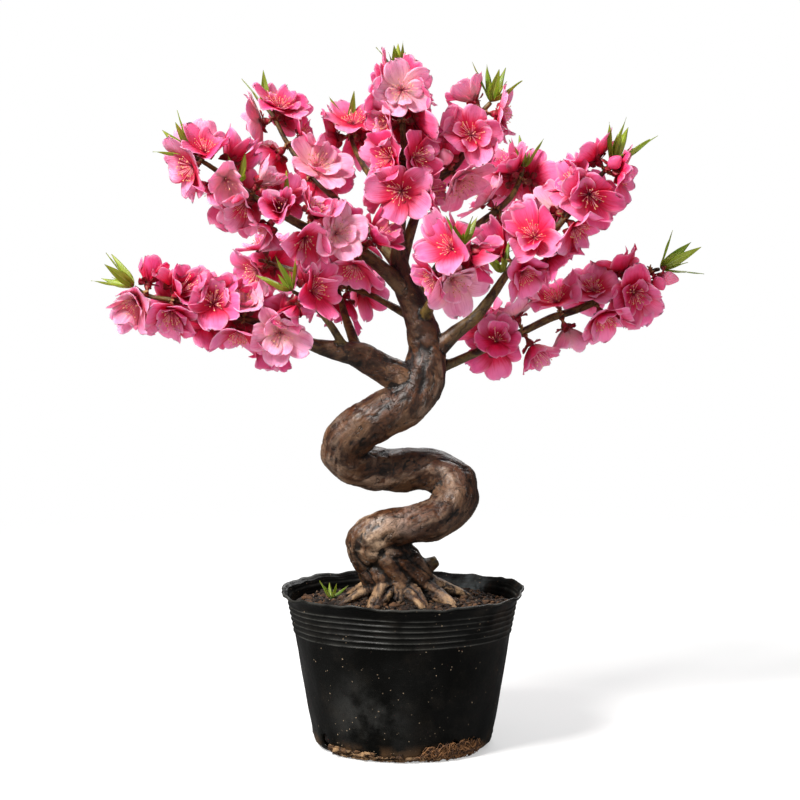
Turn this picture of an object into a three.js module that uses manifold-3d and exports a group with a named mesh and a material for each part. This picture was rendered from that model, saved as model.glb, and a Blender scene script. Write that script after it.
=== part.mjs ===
// A double-flowered peach bonsai: a spiral-trained trunk with flowering limbs, rooted in a soft black nursery pot.
// Millimetres, +Z up, seen from the front along +Y. The origin is the centre of the pot's base.

import * as THREE from 'three';
import { mergeVertices } from 'three/addons/utils/BufferGeometryUtils.js';
import Module from 'manifold-3d';

const wasm = await Module();
wasm.setup();

// Driving dimensions

const CLEARANCE = 0.35; // between pieces that touch
const TURN = 2 * Math.PI;
const DEG = Math.PI / 180;

const POT = {
  height: 115,
  rimRadius: 90,
  shoulderRadius: 84.5, // the wall just under the flared lip
  heelRadius: 67,
  baseRadius: 60,
  wall: 1.1,
  lipDrop: 8,
  ribDrops: [13, 18, 23, 28], // moulded rings, measured down from the rim
  ribHeight: 0.7,
  rimWave: 0.9, // the soft rim is a little crumpled
  sides: 28,
};
const DRAIN = { count: 4, radius: 4.2, height: 10, firstTurn: 213 };
const SOIL = { wallLevel: 103, moundRise: 5, lump: 1.1, rings: 4 };
const LEAF = { length: 26, width: 6, thickness: 0.9, fold: 1.5, room: 0.55 };
const BLOOM = { radius: 22, stalk: 6.5, stalkRadius: 1.3, calyxRadius: 3.2, throatRadius: 3.8 };

// A fixed sequence of draws: the same count always gives the same share between 0 and 1.
const draw = (count) => {
  const wave = Math.sin(count * 12.9898 + 4.1) * 43758.5453;
  return wave - Math.floor(wave);
};
const spread = (count, reach) => (draw(count) * 2 - 1) * reach;

// Limbs: points [x, y, z, radius] from the root to the tip

const LIMBS = {
  flare: {
    sides: 11, steps: 7, gnarl: 0.07,
    path: [
      [3, 0, 84, 19], [2, 0, 102, 26], [-3, -1, 118, 26], [-10, -4, 133, 24.5], [-17, -8, 147, 20], [-22, -11, 156, 13],
    ],
  },
  stem: {
    sides: 10, steps: 44, gnarl: 0.05,
    path: [
      [-14, -6, 130, 15], [-22.5, -11, 144, 17.5], [-25, -15, 154, 16.2], [-15, -17, 161, 15], [5, -16, 164.5, 15],
      [26, -8, 169, 15.8], [37.8, 1, 180.5, 16.8], [36.8, 10, 194.5, 16.6], [20, 14, 202.3, 16.2], [-2, 14, 202, 15.8],
      [-21.5, 11, 203, 15.6], [-37, 5, 208.5, 16], [-43, -3, 220, 16.8], [-35, -10, 231.5, 16.6], [-18, -12, 242.5, 16],
      [0, -10, 251.5, 16.6], [12.5, -6, 265.5, 16.2], [18, -3, 286, 14.2], [16, -2, 303, 12.4], [10, -2, 321, 11],
      [3, -3, 337, 9], [-2, -4, 353, 7], [-3, -5, 368, 5.1], [-1, -6, 387, 3.7], [1, -7, 408, 3.1], [1, -8, 433, 2.8],
      [0, -8, 455, 2.5], [-2, -8, 477, 2.2], [-3, -8, 491, 1.8],
    ],
  },
  low_left: {
    sides: 7, steps: 13, gnarl: 0.05,
    path: [
      [7, -6, 267, 13], [-14, -8, 279, 10.6], [-31, -11, 288, 9.6], [-49, -15, 292, 7.2], [-69, -19, 298, 4.6],
      [-99, -25, 311, 2.9], [-135, -30, 321, 2.5], [-159, -33, 328, 2.1], [-181, -35, 332, 1.9], [-192, -36, 339, 1.6],
    ],
  },
  low_left_fore: {
    sides: 5, steps: 5,
    path: [[-37, -12, 291, 4.4], [-43, -16, 296, 3.6], [-52, -26, 311, 2.9], [-65, -34, 327, 2.1], [-79, -38, 336, 1.6]],
  },
  low_left_aft: {
    sides: 5, steps: 4,
    path: [[-33, -8, 291, 5.1], [-36, 0, 299, 4], [-41, 12, 312, 3.3], [-46, 22, 328, 2.4], [-49, 28, 339, 1.8]],
  },
  mid_left: {
    sides: 7, steps: 10, gnarl: 0.04,
    path: [
      [7, -4, 330, 6.6], [-13, -12, 350, 5.4], [-29, -20, 363, 4.7], [-48, -28, 372, 3.6], [-71, -36, 382, 3.1],
      [-94, -42, 395, 2.7], [-115, -45, 409, 2.4], [-136, -46, 424, 2], [-150, -46, 432, 1.6],
    ],
  },
  high_left: {
    sides: 5, steps: 8,
    path: [
      [0, -2, 350, 5.1], [-24, 14, 378, 3.7], [-46, 26, 399, 3], [-71, 36, 423, 2.5], [-86, 42, 444, 2.2],
      [-96, 46, 463, 1.9], [-102, 48, 471, 1.7],
    ],
  },
  back_left: {
    sides: 5, steps: 7,
    path: [
      [8, 2, 315, 3.7], [-13, 18, 326, 2.7], [-26, 30, 332, 2.4], [-63, 58, 344, 2.3], [-94, 80, 352, 2],
      [-112, 92, 357, 1.7],
    ],
  },
  back_top: {
    sides: 5, steps: 5,
    path: [[-1, -4, 387, 3.3], [-11, 20, 405, 3], [-26, 52, 423, 2.6], [-37, 82, 443, 2.1], [-41, 98, 459, 1.7]],
  },
  high_right: {
    sides: 5, steps: 8,
    path: [
      [-1, -2, 356, 5.1], [11, 8, 393, 3.4], [24, 12, 414, 3.2], [41, 14, 429, 2.9], [53, 14, 453, 2.5],
      [59, 14, 466, 2.2], [65, 14, 473, 1.8],
    ],
  },
  back_right: {
    sides: 5, steps: 7,
    path: [
      [11, 2, 324, 5.9], [28, 30, 354, 3.7], [51, 64, 378, 3.2], [80, 96, 401, 2.8], [90, 108, 415, 2.3],
      [95, 114, 429, 1.9],
    ],
  },
  mid_right: {
    sides: 7, steps: 11, gnarl: 0.04,
    path: [
      [19, -4, 283, 8.8], [27, -6, 293, 6.9], [38, -8, 304, 5.8], [53, -12, 316, 4.7], [63, -16, 329, 3.6],
      [74, -20, 346, 3.2], [86, -24, 362, 3], [102, -28, 373, 2.9], [117, -31, 389, 2.6], [130, -33, 406, 2.3],
      [143, -35, 420, 1.9], [149, -36, 427, 1.6],
    ],
  },
  low_right: {
    sides: 6, steps: 11,
    path: [
      [16, -2, 271, 7.3], [27, 0, 278, 4.6], [39, 2, 283, 3.7], [58, 6, 291, 3.2], [79, 10, 300, 3.1],
      [96, 13, 308, 3], [111, 15, 315, 3], [130, 17, 321, 2.8], [149, 18, 329, 2.7], [169, 19, 338, 2.2],
      [183, 20, 348, 1.9], [191, 20, 351, 1.7],
    ],
  },
  front: {
    sides: 5, steps: 5,
    path: [[16, -6, 315, 5.1], [21, -26, 329, 3.6], [28, -46, 344, 2.8], [36, -62, 358, 2.1], [41, -70, 368, 1.6]],
  },
};

const ROOTS = [
  [[-16, -6, 118, 7], [-33, -13, 112, 3.4], [-45, -18, 106, 2.6], [-54, -22, 99, 1.8]],
  [[-8, -14, 124, 9], [-15, -25, 115, 7], [-21, -33, 106, 5.6], [-24, -37, 95, 4]],
  [[2, -15, 120, 9], [9, -26, 112, 7], [14, -34, 105, 5.6], [16, -38, 94, 4]],
  [[16, -8, 118, 8], [28, -15, 112, 5.4], [36, -22, 106, 4], [41, -26, 96, 3]],
  [[18, 4, 118, 8], [36, 7, 112, 4.4], [48, 8, 107, 3.2], [56, 8, 98, 2.2]],
  [[8, 14, 120, 9], [18, 28, 112, 5.6], [24, 38, 106, 4], [28, 44, 96, 3]],
  [[-6, 14, 120, 8], [-12, 28, 112, 5.6], [-16, 38, 105, 4.4], [-18, 44, 95, 3]],
  [[-18, 6, 118, 8], [-30, 16, 112, 5], [-38, 24, 106, 4], [-45, 30, 97, 2.8]],
  [[8, 0, 128, 9], [18, 1, 132, 6.4], [26, 1, 136, 4]], // the cut stub on the right
];

// Bunches of blooms: [share along the limb, then for each bloom its turn round the limb in degrees (0 up,
// 90 to the front, 180 down, 270 to the back), its lean towards the limb's tip, and its stage]

const OPEN = 'open';
const CUP = 'cup';
const BUD = 'bud';

const BUNCHES = {
  low_left: [
    [0.955, [335, 0.3, CUP], [140, 0.7, OPEN], [215, 0.1, OPEN]],
    [0.86, [350, 0.2, OPEN], [50, -0.6, CUP], [150, 0, OPEN], [260, 0, OPEN]],
    [0.73, [55, 0.1, OPEN], [345, -0.4, OPEN], [205, 0.3, OPEN]],
    [0.62, [165, 0, OPEN], [20, 0.2, OPEN], [280, 0, OPEN]],
    [0.49, [95, 0.2, OPEN], [0, 0.2, OPEN], [200, -0.2, CUP]],
  ],
  low_left_fore: [[0.86, [50, -0.3, OPEN], [5, 0.7, OPEN], [160, 0.4, CUP]]],
  low_left_aft: [[0.93, [60, 0.6, OPEN], [170, 0.4, OPEN]]],
  mid_left: [
    [0.955, [30, 0, OPEN], [145, 0.6, OPEN], [300, 0.5, CUP]],
    [0.86, [340, 0.1, OPEN], [190, 0, OPEN], [95, -0.5, CUP]],
    [0.74, [20, -0.2, OPEN], [130, -0.1, OPEN], [250, 0.2, OPEN]],
    [0.62, [185, 0.1, OPEN], [75, 0.2, CUP], [320, 0, OPEN]],
    [0.5, [20, 0.2, OPEN], [140, 0, OPEN]],
    [0.4, [75, 0.2, OPEN], [330, -0.2, OPEN]],
    [0.27, [165, 0.1, OPEN], [40, -0.2, CUP], [270, 0, OPEN]],
  ],
  high_left: [
    [0.94, [165, 0.4, OPEN], [20, 0.5, OPEN], [280, 0.1, CUP]],
    [0.8, [345, -0.1, OPEN], [180, 0, OPEN]],
    [0.62, [150, 0.3, CUP], [25, 0, OPEN], [270, 0, OPEN]],
  ],
  stem: [
    [0.98, [180, 0.4, OPEN], [80, -0.2, OPEN], [355, 0.5, OPEN]],
    [0.935, [345, 0.1, OPEN], [160, 0, OPEN], [265, 0.2, OPEN]],
    [0.885, [145, 0, OPEN], [35, 0, OPEN], [270, 0, OPEN]],
    [0.84, [100, 0, OPEN], [10, 0, CUP], [210, 0.1, OPEN]],
  ],
  high_right: [
    [0.94, [350, 0.4, CUP], [170, 0.5, OPEN]],
    [0.79, [85, 0.1, OPEN], [350, 0.1, OPEN], [190, 0, OPEN]],
    [0.58, [150, -0.1, OPEN], [300, 0, OPEN], [50, 0.1, BUD]],
  ],
  back_right: [
    [0.94, [165, 0.6, OPEN], [350, 0.5, CUP], [260, 0.2, OPEN]],
    [0.72, [330, -0.1, OPEN], [180, 0, OPEN]],
  ],
  mid_right: [
    [0.965, [350, 0.1, OPEN], [170, 0.7, OPEN], [100, 1.1, BUD]],
    [0.86, [115, 0, OPEN], [25, -0.2, OPEN], [240, 0, OPEN]],
    [0.74, [165, 0, OPEN], [310, 0, CUP]],
    [0.61, [60, 0.1, OPEN], [200, 0.1, OPEN], [320, 0, OPEN]],
    [0.49, [150, 0, OPEN], [350, 0, CUP]],
  ],
  low_right: [
    [0.965, [150, 1.1, BUD], [130, 0, BUD]],
    [0.86, [340, 0.1, OPEN], [120, 0.1, OPEN], [230, 0, OPEN]],
    [0.72, [40, 0.2, OPEN], [155, 0, OPEN], [300, 0, OPEN]],
    [0.58, [20, -0.1, OPEN], [190, 0.1, CUP]],
    [0.42, [345, 0.1, OPEN], [165, 0.1, CUP]],
    [0.3, [70, 0, CUP], [340, -0.1, OPEN], [250, 0, OPEN]],
  ],
  front: [
    [0.93, [90, 1, OPEN], [0, 0.1, OPEN], [235, 0.4, OPEN]],
    [0.68, [180, 0.9, OPEN], [110, -0.3, OPEN], [290, 0, CUP]],
  ],
  back_top: [[0.93, [0, 0.3, OPEN], [110, 0.2, OPEN], [240, 0.3, OPEN]]],
  back_left: [
    [0.94, [130, 0.3, OPEN], [15, 0.4, OPEN], [250, 0.3, OPEN]],
    [0.42, [350, 0, OPEN], [170, 0, CUP], [270, -0.3, OPEN]],
  ],
};

// Tufts of young leaves: [limb, share along it, aim [x, y, z], how many leaves, size, name]

const TUFTS = [
  ['low_left', 1, [-0.75, -0.1, 0.62], 5, 1, 'low_left_tip'],
  ['low_left_fore', 1, [-0.5, -0.35, 0.75], 4, 0.95, 'low_left_fore_tip'],
  ['mid_left', 1, [-0.72, -0.1, 0.7], 4, 1, 'mid_left_tip'],
  ['mid_left', 0.8, [-0.1, -0.55, 0.8], 3, 0.75, 'mid_left_outer'],
  ['mid_left', 0.6, [-0.35, -0.6, 0.7], 4, 0.9, 'mid_left_inner'],
  ['high_left', 1, [-0.1, 0.1, 1], 4, 0.85, 'high_left_tip'],
  ['stem', 1, [0, -0.1, 1], 4, 0.95, 'stem_tip'],
  ['high_right', 1, [0.3, 0, 1], 5, 1.05, 'high_right_tip'],
  ['back_right', 1, [-0.05, 0.15, 1], 3, 0.9, 'back_right_tip'],
  ['mid_right', 1, [0.4, -0.15, 0.9], 5, 1.2, 'mid_right_tip'],
  ['mid_right', 0.44, [-0.35, -0.45, 0.8], 4, 0.75, 'mid_right_inner'],
  ['low_right', 1, [0.85, -0.1, 0.5], 4, 1.15, 'low_right_tip'],
  ['front', 1, [0.1, -0.3, 0.95], 4, 0.9, 'front_tip'],
  ['back_top', 1, [-0.1, 0.35, 0.95], 4, 0.85, 'back_top_tip'],
];

// Solids

const solidFrom = (geometry) => {
  const bare = geometry.clone();
  bare.deleteAttribute('normal');
  bare.deleteAttribute('uv');
  const merged = mergeVertices(bare, 1e-4);
  const made = new wasm.Manifold(
    new wasm.Mesh({
      numProp: 3,
      vertProperties: new Float32Array(merged.attributes.position.array),
      triVerts: new Uint32Array(merged.index.array),
    }),
  );
  return made;
};

const geometryFrom = (solid) => {
  const mesh = solid.getMesh();
  const places = new Float32Array(mesh.numVert * 3);
  for (let i = 0; i < mesh.numVert; i += 1) {
    const start = i * mesh.numProp;
    places.set(mesh.vertProperties.subarray(start, start + 3), i * 3);
  }
  const geometry = new THREE.BufferGeometry();
  geometry.setAttribute('position', new THREE.BufferAttribute(places, 3));
  geometry.setIndex(new THREE.BufferAttribute(new Uint32Array(mesh.triVerts), 1));
  geometry.computeVertexNormals();
  return geometry;
};

// The one body of a piece, without slivers. A loose scrap that a cut leaves is dropped, but nothing larger.
const MAX_SCRAP = 0.03;
const SLIVER = 0.005;
const oneBody = (name, solid) => {
  const bodies = solid.simplify(SLIVER).decompose().sort((a, b) => b.volume() - a.volume());
  const scrap = 1 - bodies[0].volume() / bodies.reduce((sum, body) => sum + body.volume(), 0);
  if (scrap > MAX_SCRAP) throw new Error(`${name} falls apart: ${scrap.toFixed(3)} of it is loose`);
  return bodies[0];
};

const union = (solids) => solids.reduce((whole, next) => whole.add(next));

// Laces closed rings of points, each anticlockwise seen from the last, into one shell. A ring of one point is a tip.
const lace = (rings) => {
  const places = [];
  const faces = [];
  const starts = rings.map((ring) => {
    const start = places.length / 3;
    ring.forEach((point) => places.push(point.x, point.y, point.z));
    return start;
  });
  const first = rings[0].length;
  for (let i = 1; i + 1 < first; i += 1) faces.push(starts[0], starts[0] + i + 1, starts[0] + i);
  for (let k = 0; k + 1 < rings.length; k += 1) {
    const [low, high] = [rings[k].length, rings[k + 1].length];
    let [i, j] = [0, 0];
    while (i < low || j < high) {
      const lowNext = low > 1 ? (i + 1) / low : Infinity;
      const highNext = high > 1 ? (j + 1) / high : Infinity;
      const a = starts[k] + (i % low);
      const b = starts[k + 1] + (j % high);
      if (lowNext <= highNext && i < low && low > 1) {
        i += 1;
        faces.push(a, starts[k] + (i % low), b);
      } else if (j < high && high > 1) {
        j += 1;
        faces.push(a, starts[k + 1] + (j % high), b);
      } else {
        break;
      }
    }
  }
  const [last, end] = [rings[rings.length - 1].length, starts[rings.length - 1]];
  for (let i = 1; i + 1 < last; i += 1) faces.push(end, end + i, end + i + 1);
  const geometry = new THREE.BufferGeometry();
  geometry.setAttribute('position', new THREE.Float32BufferAttribute(places, 3));
  geometry.setIndex(faces);
  return geometry;
};

// Wood

const curveOf = (path) => {
  const points = path.map(([x, y, z]) => new THREE.Vector3(x, y, z));
  const curve = new THREE.CatmullRomCurve3(points, false, 'catmullrom', 0.5);
  curve.arcLengthDivisions = 400;
  return curve;
};

// The limb's radius at a share of its length.
const radiusAt = (path, curve, share) => {
  const place = curve.getUtoTmapping(share) * (path.length - 1);
  const before = Math.min(Math.floor(place), path.length - 2);
  return THREE.MathUtils.lerp(path[before][3], path[before + 1][3], place - before);
};

// A cylinder bent along a path, with its radius following the path's own and a gnarled surface.
const limbSolid = ({ path, sides, steps, gnarl = 0 }, extra = 0) => {
  const curve = curveOf(path);
  const frames = curve.computeFrenetFrames(steps, false);
  const geometry = new THREE.CylinderGeometry(1, 1, 1, sides, steps, false);
  const places = geometry.getAttribute('position');
  for (let i = 0; i < places.count; i += 1) {
    const [across, along, deep] = [places.getX(i), places.getY(i) + 0.5, places.getZ(i)];
    const step = Math.round(along * steps);
    const share = step / steps;
    const turn = Math.atan2(across, deep);
    const lumps = 1 + gnarl * (Math.sin(3 * turn + step * 0.9) + Math.sin(2 * turn - step * 1.7));
    const radius = radiusAt(path, curve, share) * lumps + extra;
    const point = curve.getPointAt(share);
    point.addScaledVector(frames.normals[step], across * radius);
    point.addScaledVector(frames.binormals[step], -deep * radius);
    if (step === 0) point.addScaledVector(frames.tangents[step], -extra);
    if (step === steps) point.addScaledVector(frames.tangents[step], extra);
    places.setXYZ(i, point.x, point.y, point.z);
  }
  return solidFrom(geometry);
};

const woodSolid = (extra = 0) =>
  union([
    ...Object.values(LIMBS).map((limb) => limbSolid(limb, extra)),
    ...ROOTS.map((path) => limbSolid({ path, sides: 6, steps: 4, gnarl: 0.05 }, extra)),
  ]);

// A place on a limb's bark, with the directions along the limb, up from it and out to its front.
const STEEP = new Set(['stem', 'low_left_aft']);
const seatOn = (name, share) => {
  const { path } = LIMBS[name];
  const curve = curveOf(path);
  const along = curve.getTangentAt(share);
  const rise = STEEP.has(name) ? new THREE.Vector3(1, 0, 0) : new THREE.Vector3(0, 0, 1);
  const up = rise.addScaledVector(along, -rise.dot(along)).normalize();
  const out = new THREE.Vector3().crossVectors(along, up);
  if (out.y > 0) out.negate();
  return { centre: curve.getPointAt(share), radius: radiusAt(path, curve, share), along, up, out };
};

const PLACES_PER_LIMB = 60;
const LIMB_PLACES = Object.fromEntries(Object.entries(LIMBS).map(([name, { path }]) => {
  const curve = curveOf(path);
  return [name, Array.from({ length: PLACES_PER_LIMB }, (_, i) => {
    const share = i / (PLACES_PER_LIMB - 1);
    return { point: curve.getPointAt(share), radius: radiusAt(path, curve, share) };
  })];
}));

// Blooms

const basisTo = (axis, roll) => {
  const turned = new THREE.Quaternion().setFromUnitVectors(new THREE.Vector3(0, 0, 1), axis);
  return turned.multiply(new THREE.Quaternion().setFromAxisAngle(new THREE.Vector3(0, 0, 1), roll));
};

const ring = (count, radius, height, start = 0) =>
  Array.from({ length: count }, (_, i) => {
    const turn = start + (TURN * i) / count;
    return new THREE.Vector3(Math.cos(turn) * radius, Math.sin(turn) * radius, height);
  });

// The lobed edge of a layer of petals: [share of a petal's span, share of the radius] round one petal.
const OUTER_EDGE = [[0, 0.75], [0.27, 1], [0.73, 1]];
const INNER_EDGE = [[0, 0.66], [0.5, 1]];
const PETALS = 5;

const lobedRing = (edge, radius, height, start, seed) => {
  const points = [];
  for (let petal = 0; petal < PETALS; petal += 1) {
    const reach = radius * (1 + spread(seed + petal, 0.07));
    const lift = height * (1 + spread(seed + petal + 20, 0.16));
    edge.forEach(([span, share]) => {
      const turn = start + (TURN * (petal + span)) / PETALS;
      const out = reach * share;
      points.push(new THREE.Vector3(Math.cos(turn) * out, Math.sin(turn) * out, lift * share ** 1.3));
    });
  }
  return points;
};

// Reach and rise of each layer, and how far from the axis and how high the throat lies.
const STAGES = {
  open: { outer: [1.04, 0.32], inner: [0.66, 0.46], throat: [3.8, 0.9] },
  cup: { outer: [0.74, 0.72], inner: [0.36, 0.92], throat: [2.6, 2.6] },
};

const onward = (start, way, distance) => start.clone().addScaledVector(way, distance);
const hubOf = (bloom) => onward(bloom.seat, bloom.axis, bloom.stalk - 0.9);
const headOf = (bloom) => onward(bloom.seat, bloom.axis, bloom.stalk + BLOOM.radius * 0.25);

// The nearest pair of places on two spines, each a list of points.
const nearestPair = (spine, other) => {
  let best = { distance: Infinity };
  spine.forEach((from) => {
    other.forEach((to) => {
      const distance = from.distanceTo(to);
      if (distance < best.distance) best = { distance, from, to };
    });
  });
  return best;
};

const spineOf = (bloom) => [0, 0.25, 0.5, 0.75, 1].map((share) => bloom.seat.clone().lerp(headOf(bloom), share));

// The planes that bound a bloom's room, each as a normal to its own side and the hub's distance from it.
const boundsOf = (bloom, blooms) => {
  const hub = hubOf(bloom);
  const bounds = [];
  const bound = (point, normal, gap) => bounds.push({ normal, slack: hub.clone().sub(point).dot(normal) - gap });
  blooms.forEach((other) => {
    if (other === bloom || headOf(bloom).distanceTo(headOf(other)) > 2.6 * BLOOM.radius) return;
    const pair = nearestPair(spineOf(bloom), spineOf(other));
    const normal = pair.from.clone().sub(pair.to).normalize();
    bound(pair.from.clone().lerp(pair.to, 0.5), normal, CLEARANCE / 2);
  });
  Object.values(LIMB_PLACES).forEach((places) => {
    const spine = [hub, headOf(bloom)];
    const pairs = places.map(({ point, radius }) => {
      const pair = nearestPair(spine, [point]);
      return { ...pair, clear: pair.distance - radius };
    });
    const pair = pairs.reduce((best, next) => (next.clear < best.clear ? next : best));
    if (pair.clear > BLOOM.radius || pair.clear < 1) return;
    const normal = pair.from.clone().sub(pair.to).normalize();
    bound(onward(pair.to, normal, pair.distance - pair.clear), normal, CLEARANCE);
  });
  const local = basisTo(bloom.axis, bloom.roll).invert();
  return bounds.map(({ normal, slack }) => ({ normal: normal.clone().applyQuaternion(local), slack }));
};

const tilted = (reach, tilt, flat) =>
  new THREE.Vector3(Math.sin(tilt) * Math.cos(flat), Math.sin(tilt) * Math.sin(flat), Math.cos(tilt))
    .multiplyScalar(reach);

const within = (offset, bounds) => bounds.every(({ normal, slack }) => slack + normal.dot(offset) >= 0);

// How much the petals fold up at an azimuth: 1 when they have all their room.
const FOLD_STEPS = 16;
const foldAt = (flat, rim, bounds) => {
  for (let step = 0; step < FOLD_STEPS; step += 1) {
    const fold = 1 - (0.72 * step) / FOLD_STEPS;
    if (within(tilted(rim.reach, rim.tilt * fold, flat), bounds)) return fold;
  }
  return 0.28;
};

// Bends a point of the corolla clear of the neighbours: folded up first, and drawn in if that is not enough.
const bentClear = (point, hubHeight, rim, bounds) => {
  const offset = point.clone().setZ(point.z - hubHeight);
  const reach = offset.length();
  const tilt = Math.acos(THREE.MathUtils.clamp(offset.z / reach, -1, 1));
  const flat = Math.atan2(offset.y, offset.x);
  const folded = tilted(reach, tilt * foldAt(flat, rim, bounds), flat);
  const kept = bounds.reduce((share, { normal, slack }) => {
    const reachIn = normal.dot(folded);
    return slack + reachIn < 0 && slack > 0 ? Math.min(share, slack / -reachIn) : share;
  }, 1);
  return folded.multiplyScalar(kept).setZ(folded.z + hubHeight);
};

// One bloom along +Z, from the root of its stalk at the origin.
const bloomGeometry = ({ stage, size, stalk, seed }, bounds) => {
  if (stage === BUD) {
    return lace([
      ring(3, BLOOM.stalkRadius, 0),
      ring(5, 2.5, stalk),
      ring(5, 5.2 * size, stalk + 6 * size, 0.4),
      [new THREE.Vector3(0, 0, stalk + 13 * size)],
    ]);
  }
  const radius = BLOOM.radius * size;
  const { outer, inner, throat } = STAGES[stage];
  const hubHeight = stalk - 0.9;
  const rise = radius * outer[1] + 0.9;
  const rim = { reach: Math.hypot(radius * outer[0], rise), tilt: Math.atan2(radius * outer[0], rise) };
  const bend = (points) => points.map((point) => bentClear(point, hubHeight, rim, bounds));
  const lift = (points, height) => points.map((point) => point.setZ(point.z + height));
  return lace([
    ring(3, BLOOM.stalkRadius, 0),
    ring(5, BLOOM.calyxRadius, hubHeight),
    bend(lift(lobedRing(OUTER_EDGE, radius * outer[0], radius * outer[1], 0, seed), stalk)),
    bend(ring(5, throat[0], stalk + throat[1])),
    bend(lift(lobedRing(INNER_EDGE, radius * inner[0], radius * inner[1], TURN / 20, seed + 7), stalk)),
    bend([new THREE.Vector3(0, 0, stalk + throat[1] + 1.6)]),
  ]);
};

const COLLAR = { sides: 6, reach: 1.6, depth: 1.8, sunk: 0.4 };

const placed = (geometry, seat, axis, roll) =>
  solidFrom(geometry.applyQuaternion(basisTo(axis, roll)).translate(seat.x, seat.y, seat.z));

// The blooms of a bunch stand round a collar of bud scales that clasps the twig, and each faces its own way.
const plannedBunches = () => {
  let count = 0;
  return Object.entries(BUNCHES).flatMap(([limb, bunches]) =>
    bunches.map(([share, ...faces], index) => {
      const place = seatOn(limb, share);
      const name = `blooms_${limb}_${index + 1}`;
      const hole = (place.radius * 1.06 + CLEARANCE + 0.1) / Math.cos(Math.PI / COLLAR.sides);
      const blooms = faces.map(([turn, lean, stage]) => {
        const side = place.up.clone().multiplyScalar(Math.cos(turn * DEG)).addScaledVector(place.out, Math.sin(turn * DEG));
        count += 1;
        const seed = count * 31 + 5;
        return {
          bunch: name,
          seat: onward(place.centre, side, hole + COLLAR.sunk),
          axis: onward(side, place.along, lean).normalize(),
          stage,
          seed,
          size: 1 + spread(seed, 0.1),
          stalk: BLOOM.stalk * (1 + spread(seed + 1, 0.25)),
          roll: draw(seed + 2) * TURN,
        };
      });
      return { name, place, hole, blooms };
    }));
};

const collarSolid = ({ place, hole }) => {
  const profile = [[hole, -COLLAR.reach], [hole + COLLAR.depth, 0], [hole, COLLAR.reach], [hole, -COLLAR.reach]];
  const geometry = new THREE.LatheGeometry(profile.map(([x, y]) => new THREE.Vector2(x, y)), COLLAR.sides);
  return placed(geometry.rotateX(Math.PI / 2), place.centre, place.along, 0);
};

const bloomSolid = (bloom, blooms) =>
  placed(bloomGeometry(bloom, boundsOf(bloom, blooms)), bloom.seat, bloom.axis, bloom.roll);

// Leaves

// Where a leaf is widest and how far it folds there: [share of the length, share of the width, share of the fold]
const LEAF_SPINE = [[0.36, 1, 1], [0.74, 0.66, 0.62]];

const leafAlong = (length, bow, ringAt, room = 0) => {
  const rings = LEAF_SPINE.map(([share, wide, fold]) =>
    ringAt(wide, LEAF.fold * fold).map(([x, y]) => new THREE.Vector3(x + bow * share * share, y, share * length)));
  return lace([[new THREE.Vector3(0, 0, -room)], ...rings, [new THREE.Vector3(bow, 0, length + 2 * room)]]);
};

// One folded leaf along +Z.
const leafShape = (length, width, bow) => leafAlong(length, bow, (wide, fold) => {
  const [side, deep] = [(width / 2) * wide, LEAF.thickness / 2];
  return [[-deep, 0], [fold, -side], [deep, 0], [fold, side]];
});

// The room round a leaf that its neighbours leave free.
const leafRoom = (length, width, bow) => leafAlong(length, bow, (wide, fold) => {
  const [side, low, high] = [(width / 2) * wide + LEAF.room, -LEAF.thickness / 2 - LEAF.room, fold + LEAF.room];
  return [[low, -side], [high, -side], [high, side], [low, side]];
}, LEAF.room);

// A tuft of leaves on a short bud, or the room it needs.
const tuftSolid = ([limb, share, aim, count, size], index, shape = leafShape) => {
  const place = seatOn(limb, share);
  const way = new THREE.Vector3(...aim).normalize();
  const side = onward(way, place.along, -way.dot(place.along)).normalize();
  const seat = share === 1
    ? onward(place.centre, place.along, CLEARANCE + 0.1)
    : onward(place.centre, side, place.radius + CLEARANCE + 0.9);
  const leaves = Array.from({ length: count }, (_, i) => {
    const seed = index * 17 + i;
    const length = LEAF.length * size * (0.82 + 0.3 * draw(seed + 300));
    const lean = i === 0 ? 0.08 : 0.42 + 0.25 * draw(seed + 310);
    const leaf = shape(length, LEAF.width * Math.sqrt(size), 2 + 2 * draw(seed + 320));
    leaf.rotateY(lean).translate(i === 0 ? 0 : 0.7, 0, 0).rotateZ((TURN * i) / count + spread(seed + 330, 0.3));
    return placed(leaf, seat, way, index);
  });
  const extra = shape === leafRoom ? LEAF.room : 0;
  const bud = lace([ring(4, 1.3 + extra, -extra), ring(4, 1.7 + extra, 2 + extra)]);
  return union([placed(bud, seat, way, index), ...leaves]);
};

// Pot and soil

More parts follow.
